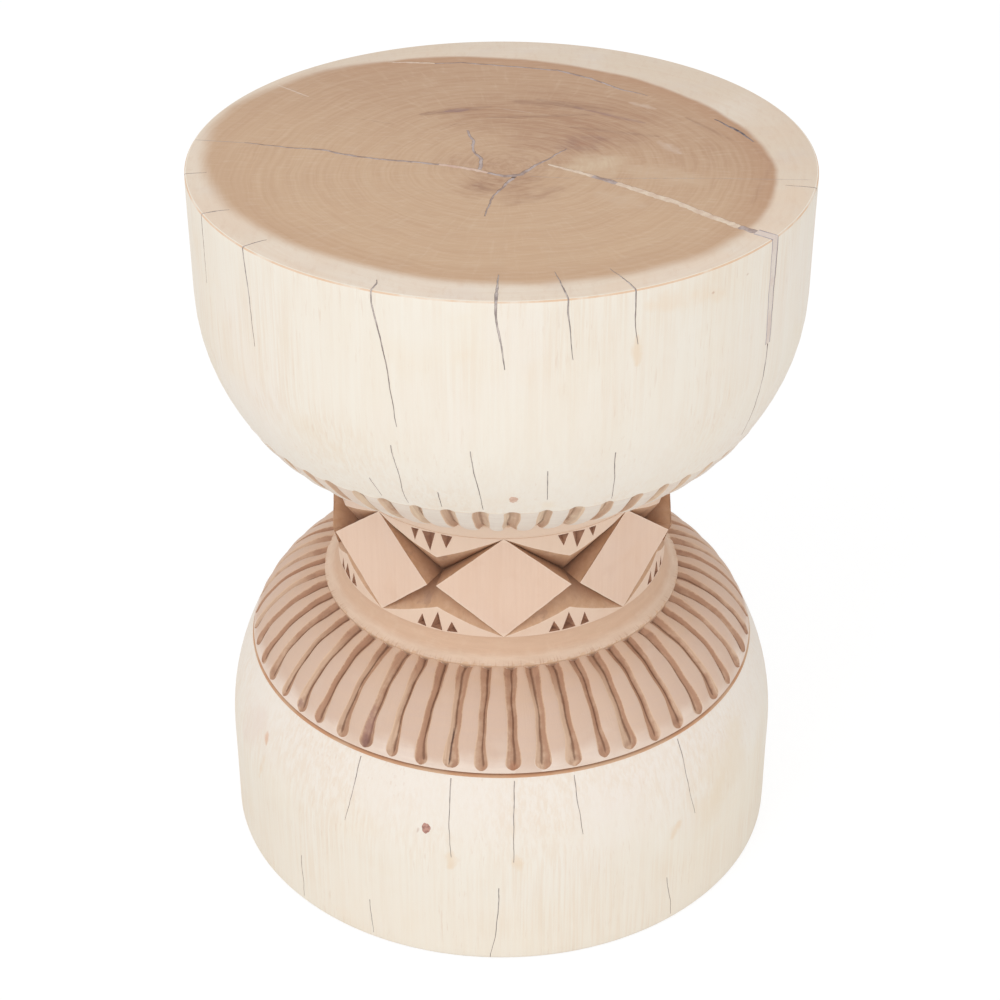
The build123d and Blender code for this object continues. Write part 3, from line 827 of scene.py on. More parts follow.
def fine_run(points, step, ragged, seed):
    """Points every step mm along a run, its line and width made uneven."""
    draw = random.Random(seed)
    out = []
    for (x0, y0, w0), (x1, y1, w1) in zip(points, points[1:]):
        count = max(ceil(hypot(x1 - x0, y1 - y0) / step), 1)
        for k in range(count):
            share = k / count
            out.append([x0 + (x1 - x0) * share, y0 + (y1 - y0) * share, w0 + (w1 - w0) * share])
    out.append(list(points[-1]))
    drift = 0.0
    for k, point in enumerate(out[1:-1], start=1):
        before, after = out[k - 1], out[k + 1]
        along = Vector((after[0] - before[0], after[1] - before[1])).normalized()
        drift = drift * 0.6 + draw.uniform(-1, 1) * ragged
        point[0] -= along.y * drift
        point[1] += along.x * drift
        point[2] *= draw.uniform(0.78, 1.18)
    return out


def fine_top_runs():
    """The runs across the top in fine steps, in the order of TOP_RUNS."""
    return [fine_run(run, 2.2, 0.4, 20 + index) for index, run in enumerate(TOP_RUNS)]


def flat_edges(run, lift, widen):
    """(right, left) edges of a strip in the table top."""
    edges, z = [], sizes["top"] + lift
    for k, (x, y, width) in enumerate(run):
        before, after = run[max(k - 1, 0)], run[min(k + 1, len(run) - 1)]
        along = Vector((after[0] - before[0], after[1] - before[1])).normalized()
        left = Vector((-along.y, along.x)) * (width / 2 + widen)
        edges.append([Vector((x + s * left.x, y + s * left.y, z)) * MM for s in (-1, 1)])
    return edges


def skin_run(high, low, width, ragged, seed):
    """(azimuth, height, width) along a check that runs down the skin."""
    draw = random.Random(seed)
    length = hypot(high[1] - low[1], radians(high[0] - low[0]) * DRIFT_RADIUS)
    count = max(int(length / 2.6), 2)
    out = []
    drift = lean = 0.0
    for k in range(count + 1):
        share = k / count
        lean = lean * 0.8 + draw.uniform(-1, 1) * ragged
        drift = drift * 0.9 + lean * 0.6
        z = high[1] + (low[1] - high[1]) * share
        azimuth = high[0] + (low[0] - high[0]) * share + degrees(drift / DRIFT_RADIUS)
        out.append((azimuth, z, max(width * (0.9 - 0.65 * share) * draw.uniform(0.6, 1.3), 0.16)))
    return out


def skin_edges(run, lift, widen):
    edges = []
    for azimuth, z, width in run:
        radius = skin_radius(z)
        half = degrees((width / 2 + widen) / radius)
        edges.append([at(azimuth + s * half, radius + lift, z) for s in (-1, 1)])
    return edges


def rim_edges(number, lift, widen):
    """A check that runs over the rim: out along the top, round the edge, down the side."""
    azimuth, length, lean, drop, foot, width = RIM_CHECKS[number]
    rim, top = sizes["rim"], sizes["top"]
    clear = LET_IN + PROUD
    draw = random.Random(300 + number)
    edges = []
    count = max(int(length / 2.2), 3)
    drift = 0.0
    for k in range(count):
        share = 1 - k / count  # 1 at the inner end
        drift = drift * 0.6 + draw.uniform(-0.35, 0.35)
        radius = rim - clear - (length - clear) * share
        side = degrees((lean * share + drift * share) / rim)
        half = degrees((width * (1.05 - 0.8 * share) * draw.uniform(0.7, 1.3) / 2 + widen) / radius)
        edges.append([at(azimuth + side + s * half, radius, top + lift) for s in (-1, 1)])
    half = degrees((width * 0.45 + widen) / rim)
    edges.append([at(azimuth + s * half, rim + lift, top + lift) for s in (-1, 1)])
    if drop:
        run = skin_run((azimuth, top - clear), (foot, top - drop), width, 0.3, 400 + number)
    else:
        run = [(azimuth, top - clear, width / 2)]
    return edges + skin_edges(run, lift, widen)


def wedge_run():
    """(azimuth, height, share of the way down) of the wedge."""
    for k in range(15):
        share = k / 14
        wobble = 0.22 * sin(share * 9) + 0.15 * sin(share * 23)
        yield WEDGE_AZIMUTH + degrees(wobble / sizes["rim"]), sizes["top"] - WEDGE_LENGTH * share, share


def wedge_edges(left, right, lift, rise=0.0):
    """A strip down the side under the open end of the right check.
    left and right are its edges at the top, as shares of half the wedge, and an offset in mm."""
    edges = []
    for azimuth, z, share in wedge_run():
        half = (WEDGE_TOP + (WEDGE_TOE - WEDGE_TOP) * share) / 2
        radius = skin_radius(z) + lift
        if share == 0:
            z += rise
        offs = (side * half + off for side, off in (left, right))
        edges.append([at(azimuth + degrees(off / radius), radius, z) for off in offs])
    return edges


def ribbon(name, edges, depth):
    """A strip through (right, left) pairs of points, thickened into the wood."""
    nothing_selected()
    count = len(edges) - 1
    bpy.ops.mesh.primitive_grid_add(x_subdivisions=count, y_subdivisions=1, size=1)
    piece = fresh(name)
    for vert in piece.data.vertices:
        vert.co = edges[round((vert.co.x + 0.5) * count)][vert.co.y > 0]
    apply_modifier(piece, "SOLIDIFY", thickness=depth * MM, offset=-1, use_even_offset=True)
    return piece


def let_in(piece, slot, material, *cad_nodes):
    """Finishes a piece that stands for its solid in the frame."""
    piece.data.materials.clear()
    piece.data.materials.append(material)
    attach(piece, "root")
    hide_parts(*cad_nodes)


def hairline_runs():
    """{piece: run} of the hairline checks of the bowl's foot and the drum, and of the wedge's tail."""
    runs = {}
    for kind, checks in (("underside", UNDERSIDE_CHECKS), ("base", BASE_CHECKS)):
        for number, (azimuth, z, foot, foot_z) in enumerate(checks, start=1):
            run = skin_run((azimuth, z), (foot, foot_z), HAIRLINE_WIDTH, 0.34, 500 + len(runs))
            runs[f"{kind}_check_filler_{number}"] = run
    start = (WEDGE_AZIMUTH, sizes["top"] - WEDGE_LENGTH + 1)
    runs["tail_check_filler"] = skin_run(start, (WEDGE_AZIMUTH, sizes["top"] - TAIL_DROP), 0.9, 0.3, 77)
    return runs


def slot_cutters():
    """Cutters in groups whose members don't cross each other."""
    depth = LET_IN + PROUD
    flat, rims, skins = (
        [ribbon("slot", edges_of(run, PROUD, SLACK), depth) for run in runs]
        for edges_of, runs in (
            (flat_edges, fine_top_runs()),
            (rim_edges, range(len(RIM_CHECKS))),
            (skin_edges, hairline_runs().values()),
        )
    )
    tail = skins.pop()
    edges = wedge_edges((-1, -GLUE - SLACK), (1, GLUE + SLACK), PROUD, PROUD)
    wedge = ribbon("slot", edges, WEDGE_DEPTH + PROUD)
    return (flat[:4] + rims + skins, flat[4:] + [wedge], [tail])


def cut_away(log, cutters, material):
    """Takes the joined cutters out of the log and gives what they bare a material."""
    cutter = joined(cutters, "cutter") if len(cutters) > 1 else cutters[0]
    cutter.data.materials.clear()
    cutter.data.materials.append(material)
    apply_modifier(
        log, "BOOLEAN", operation="DIFFERENCE", solver="EXACT", object=cutter, material_mode="TRANSFER"
    )
    bpy.data.objects.remove(cutter)


# ------------------------------------------------------------------------------ materials
class Tree:
    """Adds nodes to one node tree and links them as they are added."""

    def __init__(self, tree):
        self.tree = tree

    def give(self, socket, value):
        if isinstance(value, bpy.types.NodeSocket):
            self.tree.links.new(value, socket)
        elif socket.type == "RGBA":
            socket.default_value = (*value[:3], 1)
        else:
            socket.default_value = value

    def add(self, kind, inputs=(), **settings):
        node = self.tree.nodes.new(kind)
        for key, value in settings.items():
            setattr(node, key, value)
        for key, value in dict(inputs).items():
            self.give(node.inputs[key], value)
        return node

    def math(self, operation, a, b=0.0, c=0.0, clamp=False):
        inputs = {0: a, 1: b, 2: c}
        return self.add("ShaderNodeMath", inputs, operation=operation, use_clamp=clamp).outputs[0]

    def times(self, *factors):
        result = factors[0]
        for factor in factors[1:]:
            result = self.math("MULTIPLY", result, factor)
        return result

    def plus(self, a, b):
        return self.math("ADD", a, b)

    def swing(self, value, amount):
        """A noise turned into amount times -0.5 to 0.5."""
        return self.math("MULTIPLY_ADD", value, amount, -amount / 2)

    def inverse(self, value):
        return self.math("SUBTRACT", 1.0, value)

    def vector(self, operation, a, b=(0, 0, 0)):
        outputs = self.add("ShaderNodeVectorMath", {0: a, 1: b}, operation=operation).outputs
        return outputs["Value" if operation in ("LENGTH", "DISTANCE", "DOT_PRODUCT") else "Vector"]

    def parts(self, vector):
        return self.add("ShaderNodeSeparateXYZ", {"Vector": vector}).outputs

    def joined(self, x=0.0, y=0.0, z=0.0):
        return self.add("ShaderNodeCombineXYZ", {"X": x, "Y": y, "Z": z}).outputs[0]

    def mix(self, share, a, b):
        """From colour a at 0 to colour b at 1."""
        node = self.add("ShaderNodeMix", {0: share}, data_type="RGBA", clamp_factor=True)
        self.give(node.inputs[6], a)
        self.give(node.inputs[7], b)
        return node.outputs[2]

    def tinted(self, colour, tint, *factors):
        """A colour with a tint laid over it, as strongly as the product of the factors."""
        return self.mix(self.times(*factors), colour, tint)

    def noise(self, vector, scale, detail=3.0, rough=0.5, distortion=0.0):
        sockets = {"Vector": vector, "Scale": scale, "Detail": detail, "Roughness": rough}
        sockets["Distortion"] = distortion
        return self.add("ShaderNodeTexNoise", sockets).outputs["Fac"]

    def span(self, value, low, high, to_low=0.0, to_high=1.0):
        """Value from low to high stretched smoothly over to_low to to_high."""
        sockets = {"Value": value, "From Min": low, "From Max": high}
        sockets.update({"To Min": to_low, "To Max": to_high})
        node = self.add("ShaderNodeMapRange", sockets, interpolation_type="SMOOTHSTEP")
        return node.outputs["Result"]

    def mark(self, name):
        return self.add("ShaderNodeAttribute", attribute_name=name).outputs["Fac"]

    def group(self, name, **inputs):
        node = self.add("ShaderNodeGroup", node_tree=bpy.data.node_groups[name])
        for key, value in inputs.items():
            self.give(node.inputs[key], value)
        return node.outputs


def new_group(name, outputs, vectors=("Vector",), **values):
    """A node group that takes places and values and puts out masks; returns its Tree, its inputs
    and a function that puts out."""
    group = bpy.data.node_groups.new(name, "ShaderNodeTree")

    def socket(name, way, kind):
        return group.interface.new_socket(name, in_out=way, socket_type=f"NodeSocket{kind}")

    for vector in vectors:
        socket(vector, "INPUT", "Vector")
    for key, value in values.items():
        socket(key, "INPUT", "Float").default_value = value
    for output in outputs:
        socket(output, "OUTPUT", "Float")
    tree = Tree(group)
    given, out = group.nodes.new("NodeGroupInput").outputs, group.nodes.new("NodeGroupOutput")

    def put_out(**values):
        for socket, value in values.items():
            group.links.new(value, out.inputs[socket])

    return tree, given, put_out


PITH = (0.004, -0.018, 0.0)  # middle of the growth rings


def build_groups():
    """The effects that several finishes share."""
    # fibres that run along Z, seen on a long-grain face
    tree, given, put_out = new_group("Long Grain", ("Fibre", "Streak", "Dash"), Fineness=420.0)
    long, longer, longest = (
        tree.vector("MULTIPLY", given["Vector"], (1, 1, along)) for along in (0.10, 0.09, 0.03)
    )
    fibre = tree.noise(longest, given["Fineness"], 4, 0.62, 0.2)
    put_out(
        Fibre=tree.span(fibre, 0.36, 0.66),
        Streak=tree.span(tree.noise(longer, 62.0, 3, 0.55, 0.6), 0.38, 0.68),
        Dash=tree.span(tree.noise(long, 620.0, 2, 0.5), 0.60, 0.72),
    )

    # scratches of the gouge, which run up the flutes and round the neck
    tree, given, put_out = new_group("Gouge Marks", ("Along", "Round"))
    flat = tree.vector("NORMALIZE", tree.vector("MULTIPLY", given["Vector"], (1, 1, 0)))
    height = tree.parts(given["Vector"])["Z"]
    spread, narrow = (tree.vector("MULTIPLY", flat, (wide, wide, 0)) for wide in (0.16, 0.012))
    along = tree.vector("ADD", spread, tree.joined(z=tree.times(height, 0.05)))
    around = tree.vector("ADD", narrow, tree.joined(z=height))
    put_out(
        Along=tree.span(tree.noise(along, 700.0, 4, 0.62), 0.34, 0.66),
        Round=tree.span(tree.noise(around, 420.0, 3, 0.6), 0.36, 0.64),
    )

    # soft clouded patches
    tree, given, put_out = new_group("Patch", ("Mask",), Scale=12.0, Low=0.48, High=0.7)
    cloud = tree.noise(given["Vector"], given["Scale"], 4, 0.55, 0.3)
    put_out(Mask=tree.span(cloud, given["Low"], given["High"]))

    # a stain or scratch from one place to another, ragged and narrower towards its ends
    tree, given, put_out = new_group(
        "Stain", ("Mask",), ("Vector", "Start", "End"), Width=0.004, Ragged=0.6, Fineness=160.0
    )
    run = tree.vector("SUBTRACT", given["End"], given["Start"])
    off = tree.vector("SUBTRACT", given["Vector"], given["Start"])
    square = tree.plus(tree.vector("DOT_PRODUCT", run, run), 1e-9)
    share = tree.math("DIVIDE", tree.vector("DOT_PRODUCT", off, run), square)
    share = tree.math("MINIMUM", tree.math("MAXIMUM", share, 0.0), 1.0)
    nearest = tree.vector("MULTIPLY", run, tree.joined(share, share, share))
    reach = tree.vector("DISTANCE", off, nearest)
    taper = tree.math("MULTIPLY_ADD", tree.times(share, tree.inverse(share)), 2.0, 0.5)
    cloud = tree.swing(tree.noise(given["Vector"], given["Fineness"], 3, 0.6), 2.0)
    ratio = tree.math("DIVIDE", reach, tree.times(given["Width"], taper))
    off_line = tree.plus(ratio, tree.times(cloud, given["Ragged"]))
    put_out(Mask=tree.span(off_line, 0.0, 1.15, 1.0, 0.0))

    # growth rings seen end on, with smudges drawn out along them
    tree, given, put_out = new_group(
        "Growth Rings", ("Ring", "Broad", "Smudge", "Ray"), Spacing=0.0026
    )
    off = tree.vector("SUBTRACT", tree.vector("MULTIPLY", given["Vector"], (1, 1, 0)), PITH)
    warp = tree.swing(tree.noise(off, 9.0, 3, 0.5), 0.024)
    turns = tree.math("DIVIDE", tree.plus(tree.vector("LENGTH", off), warp), given["Spacing"])

    def fanned(around, outward):
        """Places spread around the pith and outward from it."""
        spread = tree.vector("MULTIPLY", tree.vector("NORMALIZE", off), (around, around, 0))
        return tree.vector("ADD", spread, tree.joined(z=tree.times(turns, outward)))

    put_out(
        Ring=tree.span(tree.noise(tree.joined(turns), 1.0, 2, 0.6), 0.34, 0.68),
        Broad=tree.span(tree.noise(tree.joined(tree.times(turns, 0.17)), 1.0, 2, 0.5), 0.36, 0.66),
        Smudge=tree.span(tree.noise(fanned(1.6, 0.42), 1.9, 4, 0.6), 0.40, 0.66),
        Ray=tree.span(tree.noise(fanned(42, 0.12), 1.0, 2, 0.5), 0.52, 0.74),
    )

    # the thin torn line along a cut edge, which the lighter finishes lay as a painted highlight
    tree, given, put_out = new_group("Torn Edge", ("Mask",), Edge=0.0)
    edge_line_and_highlight = tree.swing(tree.noise(given["Vector"], 420.0, 3, 0.6), 0.8)
    put_out(Mask=tree.span(tree.plus(given["Edge"], edge_line_and_highlight), 0.62, 0.95))


def new_material(name):
    """A material, its Tree, its shader and the place on the piece."""
    material = bpy.data.materials.new(name)
    material.use_nodes = True
    tree = Tree(material.node_tree)
    place = tree.add("ShaderNodeTexCoord").outputs["Object"]
    return material, tree, material.node_tree.nodes["Principled BSDF"], place


def finish_wood(tree, shader, colour, roughness, uneven, height, strength, distance=0.0004):
    """Colour, satin sheen and relief of a wood surface."""
    tree.give(shader.inputs["Base Color"], colour)
    spread = tree.span(uneven, 0.0, 1.0, roughness - 0.06, roughness + 0.06)
    tree.give(shader.inputs["Roughness"], spread)
    shader.inputs["Specular IOR Level"].default_value = 0.25
    relief = tree.add("ShaderNodeBump", {"Height": height, "Strength": strength, "Distance": distance})
    tree.give(shader.inputs["Normal"], relief.outputs[0])


def patched(tree, place, colour, patches):
    """Soft patches of (shift, scale, low, high, share, tint) over a colour."""
    for shift, scale, low, high, share, tint in patches:
        moved = tree.vector("ADD", place, (shift, shift * 0.6, 0))
        mask = tree.group("Patch", Vector=moved, Scale=scale, Low=low, High=high)["Mask"]
        colour = tree.tinted(colour, tint, mask, share)
    return colour


def on_top(x, y):
    return Vector((x * MM, y * MM, sizes["top"] * MM))


def stained(tree, place, colour, stains, through=1.0):
    """Stains over a colour.  A row holds where a stain starts and ends, each as (x, y) on the top
    or (azimuth, radius, height) on the skin, then its width, raggedness, fineness, share, tint."""
    for *ends, width, ragged, fineness, share, tint in stains:
        spot = on_top if len(ends) == 4 else at
        start, end = spot(*ends[: len(ends) // 2]), spot(*ends[len(ends) // 2:])
        mask = tree.group(
            "Stain", Vector=place, Start=tuple(start), End=tuple(end),
            Width=width * MM, Ragged=ragged, Fineness=fineness,
        )["Mask"]
        colour = tree.tinted(colour, tint, mask, share, through)
    return colour


# the heartwood is an ellipse: its centre, and its half axes as directions over their lengths
HEART_CENTRE = (-0.0095, -0.0038, 0.0)
HEART_LONG = (0.819 / 0.1850, -0.574 / 0.1850, 0.0)
HEART_SHORT = (-0.574 / 0.1645, -0.819 / 0.1645, 0.0)
UMBER, RUSSET, PURPLE = (0.300, 0.165, 0.110), (0.430, 0.225, 0.135), (0.300, 0.180, 0.170)
GREY_LINE, STRAW, ORANGE = (0.420, 0.330, 0.290), (0.840, 0.720, 0.570), (0.810, 0.610, 0.410)
# stains of the heartwood and of the sapwood, and lines that cross both, as stained() reads them
HEART_STAINS = (
    (-20, 66, 88, 62, 56, 0.5, 40, 0.85, (0.440, 0.252, 0.155)),
    (20, 20, 80, 30, 40, 0.6, 60, 0.75, (0.430, 0.245, 0.155)),
    (-14, -44, 14, -36, 44, 0.5, 60, 0.85, (0.430, 0.248, 0.155)),
    (-30, -10, 30, -12, 32, 0.6, 70, 0.50, (0.440, 0.258, 0.165)),
    (35, -51, 12, -66, 12, 0.7, 120, 0.50, (0.400, 0.230, 0.150)),
    (-16, -44, -8, -50, 9, 0.8, 160, 0.45, UMBER),
    (62, 26, 40, 14, 17, 0.8, 130, 0.60, (0.340, 0.190, 0.140)),
    (-52, 66, -8, 78, 5.0, 0.8, 150, 0.60, UMBER),
    (-36, 71, -22, 74, 4.2, 0.8, 200, 0.80, PURPLE),
    (24, 91, 52, 76, 4.6, 0.8, 170, 0.62, UMBER),
    (48, 78, 92, 52, 3.2, 0.8, 170, 0.62, PURPLE),
    (-10, 60, 60, 66, 3.4, 0.8, 150, 0.50, UMBER),
    (10, 88, 70, 74, 8.0, 0.9, 120, 0.40, UMBER),
    (45, 45, 100, 30, 3.4, 0.9, 150, 0.45, UMBER),
    (49, 17, 56, 22, 8, 0.8, 150, 0.50, RUSSET),
    (150, 40, 168, -10, 2.6, 0.8, 140, 0.50, UMBER),
    (120, 60, 150, 20, 3.0, 0.8, 140, 0.40, UMBER),
    (168, -14, 150, -70, 3.0, 0.8, 140, 0.40, UMBER),
    (70, -8, 48, -18, 24, 0.6, 110, 0.75, (0.700, 0.550, 0.390)),
    (120, -38, 80, -20, 18, 0.7, 100, 0.45, (0.690, 0.530, 0.380)),
    (82, -72, 60, -56, 14, 0.7, 120, 0.35, (0.690, 0.530, 0.390)),
    (85, 86, 100, 76, 4, 0.8, 170, 0.55, (0.700, 0.550, 0.440)),
    (100, 22, 112, 4, 5, 0.8, 150, 0.50, (0.710, 0.570, 0.480)),
    (17, -31, 44, -34, 0.8, 0.8, 260, 0.55, GREY_LINE),
    (66, -34, 124, -34, 0.9, 0.9, 240, 0.60, GREY_LINE),
    (-4, 77, 21, 68, 0.7, 0.9, 240, 0.50, (0.660, 0.560, 0.500)),
    (-145, 116, -130, 95, 0.8, 0.9, 240, 0.40, GREY_LINE),
    (-96, 60, -70, 50, 0.7, 1.1, 240, 0.50, UMBER),
    (-40, 40, -28, 52, 0.6, 1.2, 260, 0.40, UMBER),
    (139, -164, 139, -163, 1.6, 0.8, 400, 0.6, UMBER),
    (172, -119, 171, -118, 1.4, 0.8, 400, 0.5, UMBER),
    (-186, -48, -185, -47, 1.2, 0.6, 400, 0.7, (0.120, 0.080, 0.060)),
)
SAP_STAINS = (
    (150, -112, 176, -52, 26, 0.7, 40, 0.38, (0.800, 0.600, 0.440)),
    (60, -182, 128, -140, 18, 0.8, 40, 0.35, (0.790, 0.600, 0.450)),
)
TOP_LINES = (
    (-163, 20, -197, 25, 0.8, 0.4, 240, 0.80, GREY_LINE),
    (124, -34, 190, -36, 0.7, 0.7, 240, 0.50, GREY_LINE),
    (-150, 116, -128, 96, 0.7, 0.7, 240, 0.50, (0.860, 0.760, 0.680)),
)


def end_grain_material(colours):
    material, tree, shader, place = new_material("end grain")
    rings = tree.group("Growth Rings", Vector=place)
    flat = tree.vector("MULTIPLY", place, (1, 1, 0))
    off = tree.vector("SUBTRACT", flat, HEART_CENTRE)
    scaled = tree.joined(*(tree.vector("DOT_PRODUCT", off, axis) for axis in (HEART_LONG, HEART_SHORT)))
    edge = tree.plus(tree.vector("LENGTH", scaled), tree.swing(tree.noise(flat, 14.0, 3, 0.5), 0.06))
    parts = tree.parts(tree.vector("MULTIPLY", off, (5.8, 5.8, 0)))
    # the boundary is crisp and darker at the back right, soft at the front left
    back_right = tree.span(tree.plus(parts["X"], parts["Y"]), 0.0, 0.8)
    soft = tree.times(tree.span(edge, 0.968, 1.036), tree.inverse(back_right))
    out_share = tree.plus(tree.times(tree.span(edge, 0.982, 1.012), back_right), soft)
    heart = tree.tinted(colours.heartwood, (0.520, 0.325, 0.200), rings["Ring"], 0.26)
    heart = tree.tinted(heart, (0.650, 0.470, 0.315), rings["Broad"], 0.26)
    # browner behind and to the right: painted shade, darker away from the lamps, which also strengthens
    # the smudges there
    back = tree.span(tree.plus(parts["Y"], tree.times(parts["X"], 0.45)), -0.35, 0.75)
    heart = tree.tinted(heart, (0.500, 0.315, 0.205), back, 0.62)
    heart = tree.tinted(heart, (0.480, 0.285, 0.175), rings["Smudge"], tree.span(back, 0, 1, 0.20, 0.55))
    heart = tree.tinted(heart, (0.690, 0.520, 0.370), rings["Ray"], 0.20)
    grained = tree.plus(tree.times(rings["Smudge"], 0.55), tree.times(rings["Ring"], 0.35))
    heart = stained(tree, place, heart, HEART_STAINS, tree.math("ADD", grained, 0.35, clamp=True))
    rise, fall = tree.span(edge, 0.86, 0.985), tree.inverse(tree.span(edge, 0.985, 1.02))
    heart = tree.tinted(heart, (0.480, 0.262, 0.155), rise, fall, back_right, 0.60)
    rise, fall = tree.span(edge, 0.82, 0.95), tree.inverse(tree.span(edge, 0.96, 1.03))
    heart = tree.tinted(heart, (0.540, 0.345, 0.220), rise, fall, 0.34)
    sap = tree.tinted(colours.sapwood, (0.720, 0.570, 0.440), rings["Ring"], 0.12)
    # painted shade: the sapwood too is browner behind
    sap = tree.tinted(sap, (0.700, 0.565, 0.430), back, 0.40)
    sap = patched(tree, place, sap, (
        (0.0, 11.0, 0.46, 0.68, 0.42, (0.770, 0.590, 0.450)),
        (3.1, 9.0, 0.50, 0.70, 0.42, (0.830, 0.750, 0.660)),
        (5.3, 26.0, 0.50, 0.72, 0.30, (0.700, 0.600, 0.540)),
    ))
    fine = tree.noise(tree.vector("MULTIPLY", place, (1.0, 0.35, 0)), 240.0, 4, 0.62)
    sap = tree.mix(tree.span(fine, 0.48, 0.70, 0.0, 0.30), sap, (0.690, 0.520, 0.390))
    sap = tree.tinted(sap, (0.730, 0.560, 0.420), rings["Smudge"], 0.20)
    sap = stained(tree, place, sap, SAP_STAINS)
    colour = stained(tree, place, tree.mix(out_share, heart, sap), TOP_LINES)
    pores = tree.noise(place, 1500.0, 2, 0.6)
    speckled = tree.span(tree.noise(place, 60.0, 3), 0.4, 0.7, 0.08, 0.34)
    colour = tree.tinted(colour, (0.400, 0.255, 0.175), tree.span(pores, 0.60, 0.78), speckled)
    # saw marks across the cut
    saw = tree.noise(tree.vector("MULTIPLY", place, (0.30, 1.6, 0)), 300.0, 2, 0.5)
    colour = tree.tinted(colour, (0.820, 0.690, 0.560), tree.span(saw, 0.5, 0.72), 0.10)
    height = tree.plus(tree.times(rings["Ring"], 0.5), tree.times(pores, 0.6))
    finish_wood(tree, shader, colour, 0.60, rings["Ring"], height, 0.10)
    return material


def edge_line_and_highlight(tree, place, colour, share, tint):
    """The line of a cut edge over a colour: a torn line in a darker tint, a painted highlight in a
    lighter one.
    """
    mask = tree.group("Torn Edge", Vector=place, Edge=tree.mark("edge"))["Mask"]
    return tree.tinted(colour, tint, mask, share)


# stains of the skin, as stained() reads them
SKIN_STAINS = (
    (60, 190, 122, 46, 193, 72, 34, 1.1, 45, 0.55, STRAW),
    (52, 192, 96, 48, 193, 84, 12, 1.4, 90, 0.45, STRAW),
    (-9.7, 191, 92, -9.9, 193, 80, 6, 0.8, 120, 0.50, ORANGE),
    (3.0, 191, 90, 3.4, 192, 80, 6, 0.8, 120, 0.50, ORANGE),
    (38.0, 193, 84, 36.5, 194, 76, 6, 0.8, 120, 0.50, ORANGE),
    (-58.4, 188, 119, -58.2, 189, 110, 4, 0.8, 150, 0.60, (0.720, 0.400, 0.240)),
    (-57.5, 189, 104, -60.0, 193, 78, 3, 1.0, 120, 0.40, ORANGE),
    (-62, 188, 122, -68, 190, 96, 26, 0.8, 50, 0.35, (0.800, 0.640, 0.560)),
    (37.7, 197, 485, 37.7, 197, 484, 1.8, 0.6, 300, 0.70, (0.520, 0.300, 0.200)),
    (46, 197, 487, 46, 197, 486, 1.6, 0.6, 300, 0.50, (0.560, 0.350, 0.240)),
    (22.8, 197, 470, 22.9, 197, 452, 4, 0.9, 110, 0.45, ORANGE),
    (25, 197, 488, 40, 197, 482, 9, 1.2, 70, 0.30, (0.850, 0.660, 0.470)),
    (13.5, 182, 372, 15, 187, 386, 14, 1.1, 60, 0.40, STRAW),
    (-40, 190, 398, -28, 186, 384, 20, 1.1, 50, 0.30, STRAW),
    (8.2, 180, 356, 9.4, 179, 353, 8, 0.9, 90, 0.50, STRAW),
    (-16.4, 191, 108, -16.8, 191, 103, 1.3, 0.6, 300, 0.65, (0.480, 0.270, 0.200)),
)


def bleached_material(colours):
    material, tree, shader, place = new_material("bleached side")
    grain = tree.group("Long Grain", Vector=place)
    height = tree.parts(place)["Z"]
    colour = tree.tinted(colours.bleached, (0.820, 0.710, 0.580), grain["Streak"], 0.24)
    colour = patched(tree, place, colour, (
        (0.0, 9.0, 0.50, 0.72, 0.34, (0.880, 0.790, 0.640)),
        (1.7, 7.0, 0.50, 0.72, 0.34, (0.880, 0.790, 0.735)),
        (2.3, 16.0, 0.54, 0.74, 0.20, (0.860, 0.700, 0.500)),
        (4.1, 5.0, 0.46, 0.66, 0.30, (0.890, 0.850, 0.770)),
    ))
    # pinker just under the flutes and creamier towards the floor
    drum = tree.span(height, 0.150, 0.160, 1.0, 0.0)
    pinker, creamier = tree.span(height, 0.07, 0.14), tree.span(height, 0.02, 0.09, 1.0, 0.0)
    colour = tree.tinted(colour, (0.870, 0.790, 0.740), drum, pinker, 0.45)
    colour = tree.tinted(colour, (0.870, 0.775, 0.650), drum, creamier, 0.30)
    low_bowl = tree.times(tree.span(height, 0.345, 0.352), tree.span(height, 0.365, 0.400, 1.0, 0.0))
    colour = tree.tinted(colour, (0.860, 0.800, 0.720), low_bowl, 0.40)
    raised = tree.span(tree.noise(place, 13.0, 3, 0.55), 0.40, 0.64, 0.10, 0.42)
    colour = tree.tinted(colour, (0.800, 0.650, 0.500), grain["Fibre"], raised)
    dashed = tree.span(tree.noise(place, 22.0, 3), 0.42, 0.66, 0.02, 0.20)
    colour = tree.tinted(colour, (0.640, 0.430, 0.290), grain["Dash"], dashed)
    colour = stained(tree, place, colour, SKIN_STAINS)
    colour = edge_line_and_highlight(tree, place, colour, 0.75, (0.740, 0.500, 0.310))
    # thin orange line where the sanding broke the edge of the rim
    worn = tree.span(tree.noise(place, 40.0, 4), 0.34, 0.56, 0.30, 1.0)
    front = tree.span(tree.parts(place)["Y"], -0.02, 0.12, 1.0, 0.15)
    rise, fall = tree.span(height, 0.49885, 0.49905), tree.span(height, 0.49975, 0.49995, 1.0, 0.0)
    colour = tree.tinted(colour, (0.760, 0.480, 0.290), rise, fall, worn, front, 0.75)
    finish_wood(tree, shader, colour, 0.66, grain["Streak"], grain["Fibre"], 0.16, 0.0003)
    return material


EDGE_HIGHLIGHT = (0.760, 0.550, 0.385)  # painted highlight along the cut edge of a land, a groove or a V-cut wall


def below_waist(tree, height):
    """1 on the drum and its shoulder, 0 on the bowl."""
    return tree.span(height, 0.24, 0.26, 1.0, 0.0)


